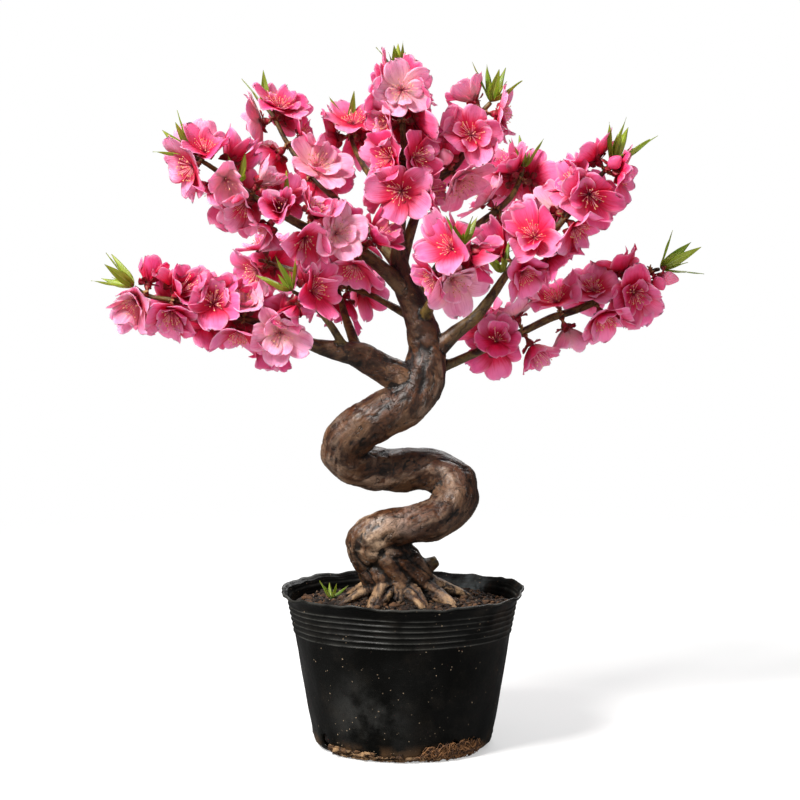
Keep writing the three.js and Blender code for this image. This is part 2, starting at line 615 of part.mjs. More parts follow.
const potSolid = () => {
  const wallAt = (height) => {
    const low = 9;
    const high = POT.height - POT.lipDrop;
    return THREE.MathUtils.mapLinear(height, low, high, POT.heelRadius, POT.shoulderRadius);
  };
  const ribs = [...POT.ribDrops].reverse().flatMap((drop) => {
    const height = POT.height - drop;
    return [[wallAt(height - 1.2), height - 1.2], [wallAt(height) + POT.ribHeight, height]];
  });
  const outside = [
    [0, 0], [POT.baseRadius, 0], [POT.heelRadius - 1.6, 3], [POT.heelRadius, 9], ...ribs,
    [POT.shoulderRadius, POT.height - POT.lipDrop], [POT.rimRadius, POT.height - 1], [POT.rimRadius, POT.height],
  ];
  const inside = [
    [POT.rimRadius - POT.wall, POT.height], [POT.shoulderRadius - POT.wall, POT.height - POT.lipDrop],
    [POT.heelRadius - POT.wall, 9], [POT.baseRadius - POT.wall, POT.wall], [0, POT.wall],
  ];
  const profile = [...outside, ...inside].map(([radius, height]) => new THREE.Vector2(radius, height));
  const geometry = new THREE.LatheGeometry(profile, POT.sides);
  geometry.rotateX(Math.PI / 2);
  const places = geometry.getAttribute('position');
  for (let i = 0; i < places.count; i += 1) {
    const [x, y, z] = [places.getX(i), places.getY(i), places.getZ(i)];
    const turn = Math.atan2(y, x);
    const soft = Math.max(0, (z - 80) / (POT.height - 80)) ** 2;
    const wave = POT.rimWave * soft * (Math.sin(3 * turn + 1) + 0.7 * Math.sin(5 * turn));
    places.setXYZ(i, x, y, z + wave);
  }
  const drains = Array.from({ length: DRAIN.count }, (_, i) => {
    const turn = DRAIN.firstTurn * DEG + (TURN * i) / DRAIN.count;
    const hole = new THREE.CylinderGeometry(DRAIN.radius, DRAIN.radius, 12, 7).rotateZ(Math.PI / 2);
    hole.translate(POT.heelRadius, 0, DRAIN.height).rotateZ(turn);
    return solidFrom(hole);
  });
  return drains.reduce((pot, hole) => pot.subtract(hole), solidFrom(geometry));
};

const soilSolid = () => {
  const gap = POT.wall + CLEARANCE;
  const wallShare = (height) => THREE.MathUtils.mapLinear(
    height, 9, POT.height - POT.lipDrop, POT.heelRadius, POT.shoulderRadius) - gap;
  const top = wallShare(SOIL.wallLevel) - 0.3;
  const surface = Array.from({ length: SOIL.rings }, (_, i) => {
    const share = 1 - i / SOIL.rings;
    return [top * share, SOIL.wallLevel + SOIL.moundRise * (1 - share * share)];
  });
  const profile = [
    [0, gap], [POT.baseRadius - gap - 0.4, gap], [POT.heelRadius - gap - 0.4, 9], ...surface,
    [0, SOIL.wallLevel + SOIL.moundRise],
  ].map(([radius, height]) => new THREE.Vector2(radius, height));
  const geometry = new THREE.LatheGeometry(profile, POT.sides);
  geometry.rotateX(Math.PI / 2);
  const places = geometry.getAttribute('position');
  for (let i = 0; i < places.count; i += 1) {
    const [x, y, z] = [places.getX(i), places.getY(i), places.getZ(i)];
    const lump = z > SOIL.wallLevel - 1 ? SOIL.lump * (Math.sin(x * 0.31 + 1) * Math.sin(y * 0.27) - 0.2) : 0;
    places.setXYZ(i, x, y, z + lump);
  }
  return solidFrom(geometry);
};

// A small weed seedling on the left of the soil.
const WEED = { x: -53, y: 4, leaves: 5, length: 15, width: 3.4 };

const weedSolid = (level, shape = leafShape) => {
  const extra = shape === leafRoom ? CLEARANCE : 0;
  const seat = new THREE.Vector3(WEED.x, WEED.y, level);
  const up = new THREE.Vector3(0, 0, 1);
  const stalk = lace([ring(4, 0.9 + extra, -6 - extra), ring(4, 0.8 + extra, 3 + extra)]);
  const leaves = Array.from({ length: WEED.leaves }, (_, i) => {
    const leaf = shape(WEED.length * (0.8 + 0.4 * draw(i + 500)), WEED.width, 1.5);
    leaf.rotateY(0.3 + 0.75 * draw(i + 510)).rotateZ((TURN * i) / WEED.leaves + 0.5).translate(0, 0, 1.2);
    return placed(leaf, seat, up, 0);
  });
  return union([placed(stalk, seat, up, 0), ...leaves]);
};

// The whole

const MATERIALS = {
  bark: new THREE.MeshStandardMaterial({ color: 0x5c4536, roughness: 0.85, metalness: 0 }),
  petal: new THREE.MeshStandardMaterial({ color: 0xe85a93, roughness: 0.6, metalness: 0 }),
  leaf: new THREE.MeshStandardMaterial({ color: 0x7d9c33, roughness: 0.55, metalness: 0 }),
  soil: new THREE.MeshStandardMaterial({ color: 0x4a3022, roughness: 0.95, metalness: 0 }),
  pot: new THREE.MeshStandardMaterial({ color: 0x17181a, roughness: 0.45, metalness: 0 }),
};

const bonsai = new THREE.Group();
bonsai.name = 'peach_bonsai';

const addPiece = (name, solid, material) => {
  const mesh = new THREE.Mesh(geometryFrom(oneBody(name, solid)), material);
  mesh.name = name;
  bonsai.add(mesh);
};

const wood = woodSolid();
const roomForWood = woodSolid(CLEARANCE);
const weedLevel = SOIL.wallLevel + 3.2;

addPiece('pot', potSolid(), MATERIALS.pot);
addPiece('soil', soilSolid().subtract(roomForWood).subtract(weedSolid(weedLevel, leafRoom)), MATERIALS.soil);
addPiece('trunk_and_limbs', wood, MATERIALS.bark);
addPiece('weed_seedling', weedSolid(weedLevel), MATERIALS.leaf);

TUFTS.forEach((tuft, index) => {
  addPiece(`leaves_${tuft[5]}`, tuftSolid(tuft, index).subtract(roomForWood), MATERIALS.leaf);
});
const roomForLeaves = union(TUFTS.map((tuft, index) => tuftSolid(tuft, index, leafRoom)));

const bunches = plannedBunches();
const blooms = bunches.flatMap((bunch) => bunch.blooms);
bunches.forEach((bunch) => {
  const members = bunch.blooms.map((bloom) => bloomSolid(bloom, blooms));
  const joined = union([collarSolid(bunch), ...members]).subtract(roomForWood).subtract(roomForLeaves);
  addPiece(bunch.name, joined, MATERIALS.petal);
});

export default bonsai;
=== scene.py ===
"""The looks of a double-flowered peach bonsai in a soft nursery pot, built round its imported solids."""

import logging
import math
from dataclasses import dataclass, field
from enum import Enum
from typing import Callable, Iterable, Sequence

import bmesh
import bpy
import numpy as np
from mathutils import Matrix, Quaternion, Vector, noise


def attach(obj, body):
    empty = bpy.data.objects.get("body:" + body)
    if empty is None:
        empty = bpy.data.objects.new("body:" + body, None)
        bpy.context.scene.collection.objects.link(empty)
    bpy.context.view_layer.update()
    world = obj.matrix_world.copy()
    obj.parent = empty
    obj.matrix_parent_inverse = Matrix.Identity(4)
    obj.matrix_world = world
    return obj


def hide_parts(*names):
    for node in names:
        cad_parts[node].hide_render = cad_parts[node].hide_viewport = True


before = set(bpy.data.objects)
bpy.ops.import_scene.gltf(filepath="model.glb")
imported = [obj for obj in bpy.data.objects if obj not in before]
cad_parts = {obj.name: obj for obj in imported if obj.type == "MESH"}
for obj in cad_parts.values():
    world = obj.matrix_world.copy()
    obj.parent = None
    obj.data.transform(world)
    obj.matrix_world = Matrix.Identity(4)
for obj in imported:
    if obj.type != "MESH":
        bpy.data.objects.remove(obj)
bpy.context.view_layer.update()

LOG = logging.getLogger("peach_bonsai")
MM = 0.001
TURN = 2 * math.pi
GOLDEN_ANGLE = 2.399963
UP = Vector((0.0, 0.0, 1.0))
CLEARANCE = 0.35 * MM
MERGE = 1e-6
ROOT = "root"

Array = np.ndarray
Triple = tuple[float, float, float]
PathPoint = tuple[float, float, float, float]
Colour = tuple[int, int, int]
Outline = Sequence[tuple[float, float]]
Shape = Callable[[Array, Array], Array]
BMesh = bmesh.types.BMesh
Vert = bmesh.types.BMVert
Mesh = bpy.types.Mesh
Material = bpy.types.Material
Socket = bpy.types.NodeSocket


def draw(count: float) -> float:
    """The fixed draw, between 0 and 1, that belongs to a count."""
    wave = math.sin(count * 12.9898 + 4.1) * 43758.5453
    return wave - math.floor(wave)


def spread(count: float, reach: float) -> float:
    """The fixed draw between -reach and reach that belongs to a count."""
    return (draw(count) * 2 - 1) * reach


def smooth(low: float, high: float, value: Array) -> Array:
    """Eases from 0 at low to 1 at high."""
    share = np.clip((value - low) / (high - low), 0, 1)
    return share * share * (3 - 2 * share)


def srgb(*parts: float) -> tuple[float, float, float, float]:
    """A screen colour of 0 to 255 as the linear colour that a shader takes."""
    shares = [part / 255 for part in parts]
    return tuple(s / 12.92 if s <= 0.04 else ((s + 0.055) / 1.055) ** 2.4 for s in shares) + (1.0,)


def basis_to(axis: Vector, roll: float = 0) -> Quaternion:
    """Turns +Z onto an axis, after a roll about +Z."""
    return UP.rotation_difference(axis) @ Quaternion(UP, roll)


def stand_at(place: Vector, turn: Quaternion) -> Matrix:
    """Takes a shape from the origin to a place, turned."""
    return Matrix.Translation(place) @ turn.to_matrix().to_4x4()


# ---- limbs: x, y, z and radius of the points along each, in millimetres ----

LIMB_PATHS: dict[str, list[PathPoint]] = {
    "flare": [(3, 0, 84, 19), (2, 0, 102, 26), (-3, -1, 118, 26), (-10, -4, 133, 24.5), (-17, -8, 147, 20),
              (-22, -11, 156, 13)],
    "stem": [(-14, -6, 130, 15), (-22.5, -11, 144, 17.5), (-25, -15, 154, 16.2), (-15, -17, 161, 15),
             (5, -16, 164.5, 15), (26, -8, 169, 15.8), (37.8, 1, 180.5, 16.8), (36.8, 10, 194.5, 16.6),
             (20, 14, 202.3, 16.2), (-2, 14, 202, 15.8), (-21.5, 11, 203, 15.6), (-37, 5, 208.5, 16),
             (-43, -3, 220, 16.8), (-35, -10, 231.5, 16.6), (-18, -12, 242.5, 16), (0, -10, 251.5, 16.6),
             (12.5, -6, 265.5, 16.2), (18, -3, 286, 14.2), (16, -2, 303, 12.4), (10, -2, 321, 11),
             (3, -3, 337, 9), (-2, -4, 353, 7), (-3, -5, 368, 5.1), (-1, -6, 387, 3.7), (1, -7, 408, 3.1),
             (1, -8, 433, 2.8), (0, -8, 455, 2.5), (-2, -8, 477, 2.2), (-3, -8, 491, 1.8)],
    "low_left": [(7, -6, 267, 13), (-14, -8, 279, 10.6), (-31, -11, 288, 9.6), (-49, -15, 292, 7.2),
                 (-69, -19, 298, 4.6), (-99, -25, 311, 2.9), (-135, -30, 321, 2.5), (-159, -33, 328, 2.1),
                 (-181, -35, 332, 1.9), (-192, -36, 339, 1.6)],
    "low_left_fore": [(-37, -12, 291, 4.4), (-43, -16, 296, 3.6), (-52, -26, 311, 2.9), (-65, -34, 327, 2.1),
                      (-79, -38, 336, 1.6)],
    "low_left_aft": [(-33, -8, 291, 5.1), (-36, 0, 299, 4), (-41, 12, 312, 3.3), (-46, 22, 328, 2.4),
                     (-49, 28, 339, 1.8)],
    "mid_left": [(7, -4, 330, 6.6), (-13, -12, 350, 5.4), (-29, -20, 363, 4.7), (-48, -28, 372, 3.6),
                 (-71, -36, 382, 3.1), (-94, -42, 395, 2.7), (-115, -45, 409, 2.4), (-136, -46, 424, 2),
                 (-150, -46, 432, 1.6)],
    "high_left": [(0, -2, 350, 5.1), (-24, 14, 378, 3.7), (-46, 26, 399, 3), (-71, 36, 423, 2.5),
                  (-86, 42, 444, 2.2), (-96, 46, 463, 1.9), (-102, 48, 471, 1.7)],
    "back_left": [(8, 2, 315, 3.7), (-13, 18, 326, 2.7), (-26, 30, 332, 2.4), (-63, 58, 344, 2.3),
                  (-94, 80, 352, 2), (-112, 92, 357, 1.7)],
    "back_top": [(-1, -4, 387, 3.3), (-11, 20, 405, 3), (-26, 52, 423, 2.6), (-37, 82, 443, 2.1),
                 (-41, 98, 459, 1.7)],
    "high_right": [(-1, -2, 356, 5.1), (11, 8, 393, 3.4), (24, 12, 414, 3.2), (41, 14, 429, 2.9),
                   (53, 14, 453, 2.5), (59, 14, 466, 2.2), (65, 14, 473, 1.8)],
    "back_right": [(11, 2, 324, 5.9), (28, 30, 354, 3.7), (51, 64, 378, 3.2), (80, 96, 401, 2.8),
                   (90, 108, 415, 2.3), (95, 114, 429, 1.9)],
    "mid_right": [(19, -4, 283, 8.8), (27, -6, 293, 6.9), (38, -8, 304, 5.8), (53, -12, 316, 4.7),
                  (63, -16, 329, 3.6), (74, -20, 346, 3.2), (86, -24, 362, 3), (102, -28, 373, 2.9),
                  (117, -31, 389, 2.6), (130, -33, 406, 2.3), (143, -35, 420, 1.9), (149, -36, 427, 1.6)],
    "low_right": [(16, -2, 271, 7.3), (27, 0, 278, 4.6), (39, 2, 283, 3.7), (58, 6, 291, 3.2), (79, 10, 300, 3.1),
                  (96, 13, 308, 3), (111, 15, 315, 3), (130, 17, 321, 2.8), (149, 18, 329, 2.7),
                  (169, 19, 338, 2.2), (183, 20, 348, 1.9), (191, 20, 351, 1.7)],
    "front": [(16, -6, 315, 5.1), (21, -26, 329, 3.6), (28, -46, 344, 2.8), (36, -62, 358, 2.1),
              (41, -70, 368, 1.6)],
}

ROOT_PATHS: list[list[PathPoint]] = [
    [(-16, -6, 118, 7), (-33, -13, 112, 3.4), (-45, -18, 106, 2.6), (-54, -22, 99, 1.8)],
    [(-8, -14, 124, 9), (-15, -25, 115, 7), (-21, -33, 106, 5.6), (-24, -37, 95, 4)],
    [(2, -15, 120, 9), (9, -26, 112, 7), (14, -34, 105, 5.6), (16, -38, 94, 4)],
    [(16, -8, 118, 8), (28, -15, 112, 5.4), (36, -22, 106, 4), (41, -26, 96, 3)],
    [(18, 4, 118, 8), (36, 7, 112, 4.4), (48, 8, 107, 3.2), (56, 8, 98, 2.2)],
    [(8, 14, 120, 9), (18, 28, 112, 5.6), (24, 38, 106, 4), (28, 44, 96, 3)],
    [(-6, 14, 120, 8), (-12, 28, 112, 5.6), (-16, 38, 105, 4.4), (-18, 44, 95, 3)],
    [(-18, 6, 118, 8), (-30, 16, 112, 5), (-38, 24, 106, 4), (-45, 30, 97, 2.8)],
    [(8, 0, 128, 9), (18, 1, 132, 6.4), (26, 1, 136, 4)],
]


class Limb:
    """A smooth path through a limb's points, with the radius of the bark along it."""

    DIVISIONS = 400
    PLACES = 60

    def __init__(self, path: Sequence[PathPoint]) -> None:
        """Measures the path.

        Args:
            path: x, y, z and radius of each point, in millimetres.
        """
        table = np.array(path, dtype=float) * MM
        self.points, self.radii = table[:, :3], table[:, 3]
        self.steps = np.linspace(0, 1, self.DIVISIONS + 1)
        strides = np.linalg.norm(np.diff(self.at(self.steps), axis=0), axis=1)
        self.lengths = np.concatenate([[0], np.cumsum(strides)])
        self.length = float(self.lengths[-1])

    def at(self, steps: Array) -> Array:
        """Follows the spline through the points.

        Args:
            steps: spline steps between 0 and 1.

        Returns:
            The path's places there.
        """
        span = len(self.points) - 1
        whole = np.clip(steps, 0, 1) * span
        index = np.minimum(whole.astype(int), span - 1)
        weight = (whole - index)[:, None]
        first, last = 2 * self.points[0] - self.points[1], 2 * self.points[-1] - self.points[-2]
        padded = np.vstack([first, self.points, last])
        a, b, c, d = (padded[index + i] for i in range(4))
        leave, arrive = 0.5 * (c - a), 0.5 * (d - b)
        return (b + leave * weight + (3 * (c - b) - 2 * leave - arrive) * weight**2
                + (2 * (b - c) + leave + arrive) * weight**3)

    def steps_at(self, shares: Array) -> Array:
        """The spline steps at shares of the length."""
        return np.interp(np.asarray(shares, dtype=float) * self.length, self.lengths, self.steps)

    def places(self, shares: Array) -> Array:
        """The path's places at shares of the length."""
        return self.at(self.steps_at(shares))

    def radii_at(self, shares: Array) -> Array:
        """The bark's radius at shares of the length."""
        return np.interp(self.steps_at(shares) * (len(self.points) - 1), np.arange(len(self.points)), self.radii)

    def tangents(self, shares: Array) -> Array:
        """Finds the way that the path runs.

        Args:
            shares: shares of the length.

        Returns:
            The path's unit directions there.
        """
        steps, reach = self.steps_at(shares), 1e-4
        ways = self.at(np.minimum(steps + reach, 1)) - self.at(np.maximum(steps - reach, 0))
        return ways / np.linalg.norm(ways, axis=1)[:, None]

    def frames(self, shares: Array) -> tuple[Array, Array, Array]:
        """Finds directions along the path and two across it that turn as little as they can.

        Args:
            shares: evenly growing shares of the length.

        Returns:
            The tangents, the normals and the binormals.
        """
        along = self.tangents(shares)
        start = np.cross(along[0], [0.0, 1.0, 0.0])
        normals = [start / np.linalg.norm(start)]
        for way in along[1:]:
            kept = normals[-1] - way * np.dot(normals[-1], way)
            normals.append(kept / np.linalg.norm(kept))
        across = np.array(normals)
        return along, across, np.cross(along, across)


@dataclass(frozen=True)
class Seat:
    """A place on a limb, with the directions along it, up from it and out to its front."""

    centre: Vector
    radius: float
    along: Vector
    up: Vector
    out: Vector


class Tree:
    """All the limbs of the tree and the seats on them."""

    STEEP = frozenset({"stem", "low_left_aft"})

    def __init__(self) -> None:
        """Measures every limb and root."""
        self.limbs = {name: Limb(path) for name, path in LIMB_PATHS.items()}
        self.roots = [Limb(path) for path in ROOT_PATHS]
        shares = np.linspace(0, 1, Limb.PLACES)
        self.marks = [(limb.places(shares), limb.radii_at(shares)) for limb in self.limbs.values()]

    @property
    def wood(self) -> list[Limb]:
        """Every limb, and then every root."""
        return [*self.limbs.values(), *self.roots]

    def seat(self, name: str, share: float) -> Seat:
        """Finds a seat on a limb.

        Args:
            name: the limb's name.
            share: where it is, as a share of the limb's length.

        Returns:
            The seat.
        """
        limb, shares = self.limbs[name], np.array([share])
        along = Vector(limb.tangents(shares)[0])
        rise = Vector((1.0, 0.0, 0.0)) if name in self.STEEP else UP.copy()
        up = (rise - along * rise.dot(along)).normalized()
        out = along.cross(up)
        if out.y > 0:
            out.negate()
        return Seat(Vector(limb.places(shares)[0]), float(limb.radii_at(shares)[0]), along, up, out)


# ---- tufts of leaves: limb, share along it, the way they point, leaves, size and name ----

Tuft = tuple[str, float, Triple, int, float, str]

TUFTS: list[Tuft] = [
    ("low_left", 1, (-0.75, -0.1, 0.62), 5, 1, "low_left_tip"),
    ("low_left_fore", 1, (-0.5, -0.35, 0.75), 4, 0.95, "low_left_fore_tip"),
    ("mid_left", 1, (-0.72, -0.1, 0.7), 4, 1, "mid_left_tip"),
    ("mid_left", 0.8, (-0.1, -0.55, 0.8), 3, 0.75, "mid_left_outer"),
    ("mid_left", 0.6, (-0.35, -0.6, 0.7), 4, 0.9, "mid_left_inner"),
    ("high_left", 1, (-0.1, 0.1, 1), 4, 0.85, "high_left_tip"),
    ("stem", 1, (0, -0.1, 1), 4, 0.95, "stem_tip"),
    ("high_right", 1, (0.3, 0, 1), 5, 1.05, "high_right_tip"),
    ("back_right", 1, (-0.05, 0.15, 1), 3, 0.9, "back_right_tip"),
    ("mid_right", 1, (0.4, -0.15, 0.9), 5, 1.2, "mid_right_tip"),
    ("mid_right", 0.44, (-0.35, -0.45, 0.8), 4, 0.75, "mid_right_inner"),
    ("low_right", 1, (0.85, -0.1, 0.5), 4, 1.15, "low_right_tip"),
    ("front", 1, (0.1, -0.3, 0.95), 4, 0.9, "front_tip"),
    ("back_top", 1, (-0.1, 0.35, 0.95), 4, 0.85, "back_top_tip"),
]
LEAF_REACH = 26 * MM


def tuft_seat(tree: Tree, tuft: Tuft) -> tuple[Vector, Vector]:
    """Finds where a tuft stands.

    Args:
        tree: the measured limbs.
        tuft: its row in the table.

    Returns:
        The foot of the tuft and the way it points.
    """
    limb, share, aim = tuft[:3]
    seat, way = tree.seat(limb, share), Vector(aim).normalized()
    side = (way - seat.along * way.dot(seat.along)).normalized()
    lift = seat.along * (CLEARANCE + 0.1 * MM) if share == 1 else side * (seat.radius + CLEARANCE + 0.9 * MM)
    return seat.centre + lift, way


def tuft_spine(tree: Tree, tuft: Tuft) -> list[Vector]:
    """Places from the foot of a tuft to its tips."""
    foot, way = tuft_seat(tree, tuft)
    return [foot + way * (LEAF_REACH * tuft[4] * share) for share in (0.15, 0.4, 0.65, 0.9)]


# ---- blooms: turn about the limb in degrees, lean along it and stage, at shares of its length ----


class Stage(Enum):
    """How far a bloom has opened."""

    OPEN = "open"
    CUP = "cup"
    BUD = "bud"


OPEN, CUP, BUD = Stage.OPEN, Stage.CUP, Stage.BUD
Face = tuple[float, float, Stage]

BUNCHES: dict[str, list[tuple[float, list[Face]]]] = {
    "low_left": [
        (0.955, [(335, 0.3, CUP), (140, 0.7, OPEN), (215, 0.1, OPEN)]),
        (0.86, [(350, 0.2, OPEN), (50, -0.6, CUP), (150, 0, OPEN), (260, 0, OPEN)]),
        (0.73, [(55, 0.1, OPEN), (345, -0.4, OPEN), (205, 0.3, OPEN)]),
        (0.62, [(165, 0, OPEN), (20, 0.2, OPEN), (280, 0, OPEN)]),
        (0.49, [(95, 0.2, OPEN), (0, 0.2, OPEN), (200, -0.2, CUP)]),
    ],
    "low_left_fore": [(0.86, [(50, -0.3, OPEN), (5, 0.7, OPEN), (160, 0.4, CUP)])],
    "low_left_aft": [(0.93, [(60, 0.6, OPEN), (170, 0.4, OPEN)])],
    "mid_left": [
        (0.955, [(30, 0, OPEN), (145, 0.6, OPEN), (300, 0.5, CUP)]),
        (0.86, [(340, 0.1, OPEN), (190, 0, OPEN), (95, -0.5, CUP)]),
        (0.74, [(20, -0.2, OPEN), (130, -0.1, OPEN), (250, 0.2, OPEN)]),
        (0.62, [(185, 0.1, OPEN), (75, 0.2, CUP), (320, 0, OPEN)]),
        (0.5, [(20, 0.2, OPEN), (140, 0, OPEN)]),
        (0.4, [(75, 0.2, OPEN), (330, -0.2, OPEN)]),
        (0.27, [(165, 0.1, OPEN), (40, -0.2, CUP), (270, 0, OPEN)]),
    ],
    "high_left": [
        (0.94, [(165, 0.4, OPEN), (20, 0.5, OPEN), (280, 0.1, CUP)]),
        (0.8, [(345, -0.1, OPEN), (180, 0, OPEN)]),
        (0.62, [(150, 0.3, CUP), (25, 0, OPEN), (270, 0, OPEN)]),
    ],
    "stem": [
        (0.98, [(180, 0.4, OPEN), (80, -0.2, OPEN), (355, 0.5, OPEN)]),
        (0.935, [(345, 0.1, OPEN), (160, 0, OPEN), (265, 0.2, OPEN)]),
        (0.885, [(145, 0, OPEN), (35, 0, OPEN), (270, 0, OPEN)]),
        (0.84, [(100, 0, OPEN), (10, 0, CUP), (210, 0.1, OPEN)]),
    ],
    "high_right": [
        (0.94, [(350, 0.4, CUP), (170, 0.5, OPEN)]),
        (0.79, [(85, 0.1, OPEN), (350, 0.1, OPEN), (190, 0, OPEN)]),
        (0.58, [(150, -0.1, OPEN), (300, 0, OPEN), (50, 0.1, BUD)]),
    ],
    "back_right": [
        (0.94, [(165, 0.6, OPEN), (350, 0.5, CUP), (260, 0.2, OPEN)]),
        (0.72, [(330, -0.1, OPEN), (180, 0, OPEN)]),
    ],
    "mid_right": [
        (0.965, [(350, 0.1, OPEN), (170, 0.7, OPEN), (100, 1.1, BUD)]),
        (0.86, [(115, 0, OPEN), (25, -0.2, OPEN), (240, 0, OPEN)]),
        (0.74, [(165, 0, OPEN), (310, 0, CUP)]),
        (0.61, [(60, 0.1, OPEN), (200, 0.1, OPEN), (320, 0, OPEN)]),
        (0.49, [(150, 0, OPEN), (350, 0, CUP)]),
    ],
    "low_right": [
        (0.965, [(150, 1.1, BUD), (130, 0, BUD)]),
        (0.86, [(340, 0.1, OPEN), (120, 0.1, OPEN), (230, 0, OPEN)]),
        (0.72, [(40, 0.2, OPEN), (155, 0, OPEN), (300, 0, OPEN)]),
        (0.58, [(20, -0.1, OPEN), (190, 0.1, CUP)]),
        (0.42, [(345, 0.1, OPEN), (165, 0.1, CUP)]),
        (0.3, [(70, 0, CUP), (340, -0.1, OPEN), (250, 0, OPEN)]),
    ],
    "front": [
        (0.93, [(90, 1, OPEN), (0, 0.1, OPEN), (235, 0.4, OPEN)]),
        (0.68, [(180, 0.9, OPEN), (110, -0.3, OPEN), (290, 0, CUP)]),
    ],
    "back_top": [(0.93, [(0, 0.3, OPEN), (110, 0.2, OPEN), (240, 0.3, OPEN)])],
    "back_left": [
        (0.94, [(130, 0.3, OPEN), (15, 0.4, OPEN), (250, 0.3, OPEN)]),
        (0.42, [(350, 0, OPEN), (170, 0, CUP), (270, -0.3, OPEN)]),
    ],
}


@dataclass(frozen=True)
class Rim:
    """How far a stage's outer and inner petals reach and rise, as shares of the bloom's radius."""

    outer: tuple[float, float]
    inner: tuple[float, float]


RIMS = {OPEN: Rim((1.04, 0.32), (0.66, 0.46)), CUP: Rim((0.74, 0.72), (0.36, 0.92))}


@dataclass(frozen=True)
class BloomSize:
    """The sizes that every bloom starts from."""

    radius: float = 22 * MM
    stalk: float = 6.5 * MM
    hub_drop: float = 0.9 * MM
    collar_sides: int = 6
    collar_sunk: float = 0.4 * MM


SIZE = BloomSize()


@dataclass
class Bloom:
    """One bloom: the root of its stalk, the way it faces and how it has grown."""

    seat: Vector
    axis: Vector
    stage: Stage
    seed: int
    size: float
    stalk: float
    roll: float

    @property
    def hub(self) -> Vector:
        """The place that the petals grow from."""
        return self.seat + self.axis * (self.stalk - SIZE.hub_drop)

    @property
    def head(self) -> Vector:
        """The middle of the open flower."""
        return self.seat + self.axis * (self.stalk + SIZE.radius * 0.25)

    @property
    def turn(self) -> Quaternion:
        """Turns the bloom's own axes into the part's."""
        return basis_to(self.axis, self.roll)

    def spine(self) -> list[Vector]:
        """Five places from the root of the stalk to the middle of the flower."""
        return [self.seat.lerp(self.head, share) for share in (0, 0.25, 0.5, 0.75, 1)]


@dataclass
class Bunch:
    """The blooms that stand round one collar on a twig."""

    name: str
    seat: Seat
    hole: float
    blooms: list[Bloom]


def plan_bunches(tree: Tree) -> list[Bunch]:
    """Places every bloom on its twig, as the solids do.

    Args:
        tree: the measured limbs.

    Returns:
        The bunches, in the order of the table.
    """
    bunches, count = [], 0
    for limb, rows in BUNCHES.items():
        for index, (share, faces) in enumerate(rows):
            seat = tree.seat(limb, share)
            hole = (seat.radius * 1.06 + CLEARANCE + 0.1 * MM) / math.cos(math.pi / SIZE.collar_sides)
            blooms = []
            for turn, lean, stage in faces:
                angle = math.radians(turn)
                side = seat.up * math.cos(angle) + seat.out * math.sin(angle)
                count += 1
                seed = count * 31 + 5
                blooms.append(Bloom(
                    seat=seat.centre + side * (hole + SIZE.collar_sunk),
                    axis=(side + seat.along * lean).normalized(),
                    stage=stage, seed=seed, size=1 + spread(seed, 0.1),
                    stalk=SIZE.stalk * (1 + spread(seed + 1, 0.25)), roll=draw(seed + 2) * TURN))
            bunches.append(Bunch(f"blooms_{limb}_{index + 1}", seat, hole, blooms))
    return bunches


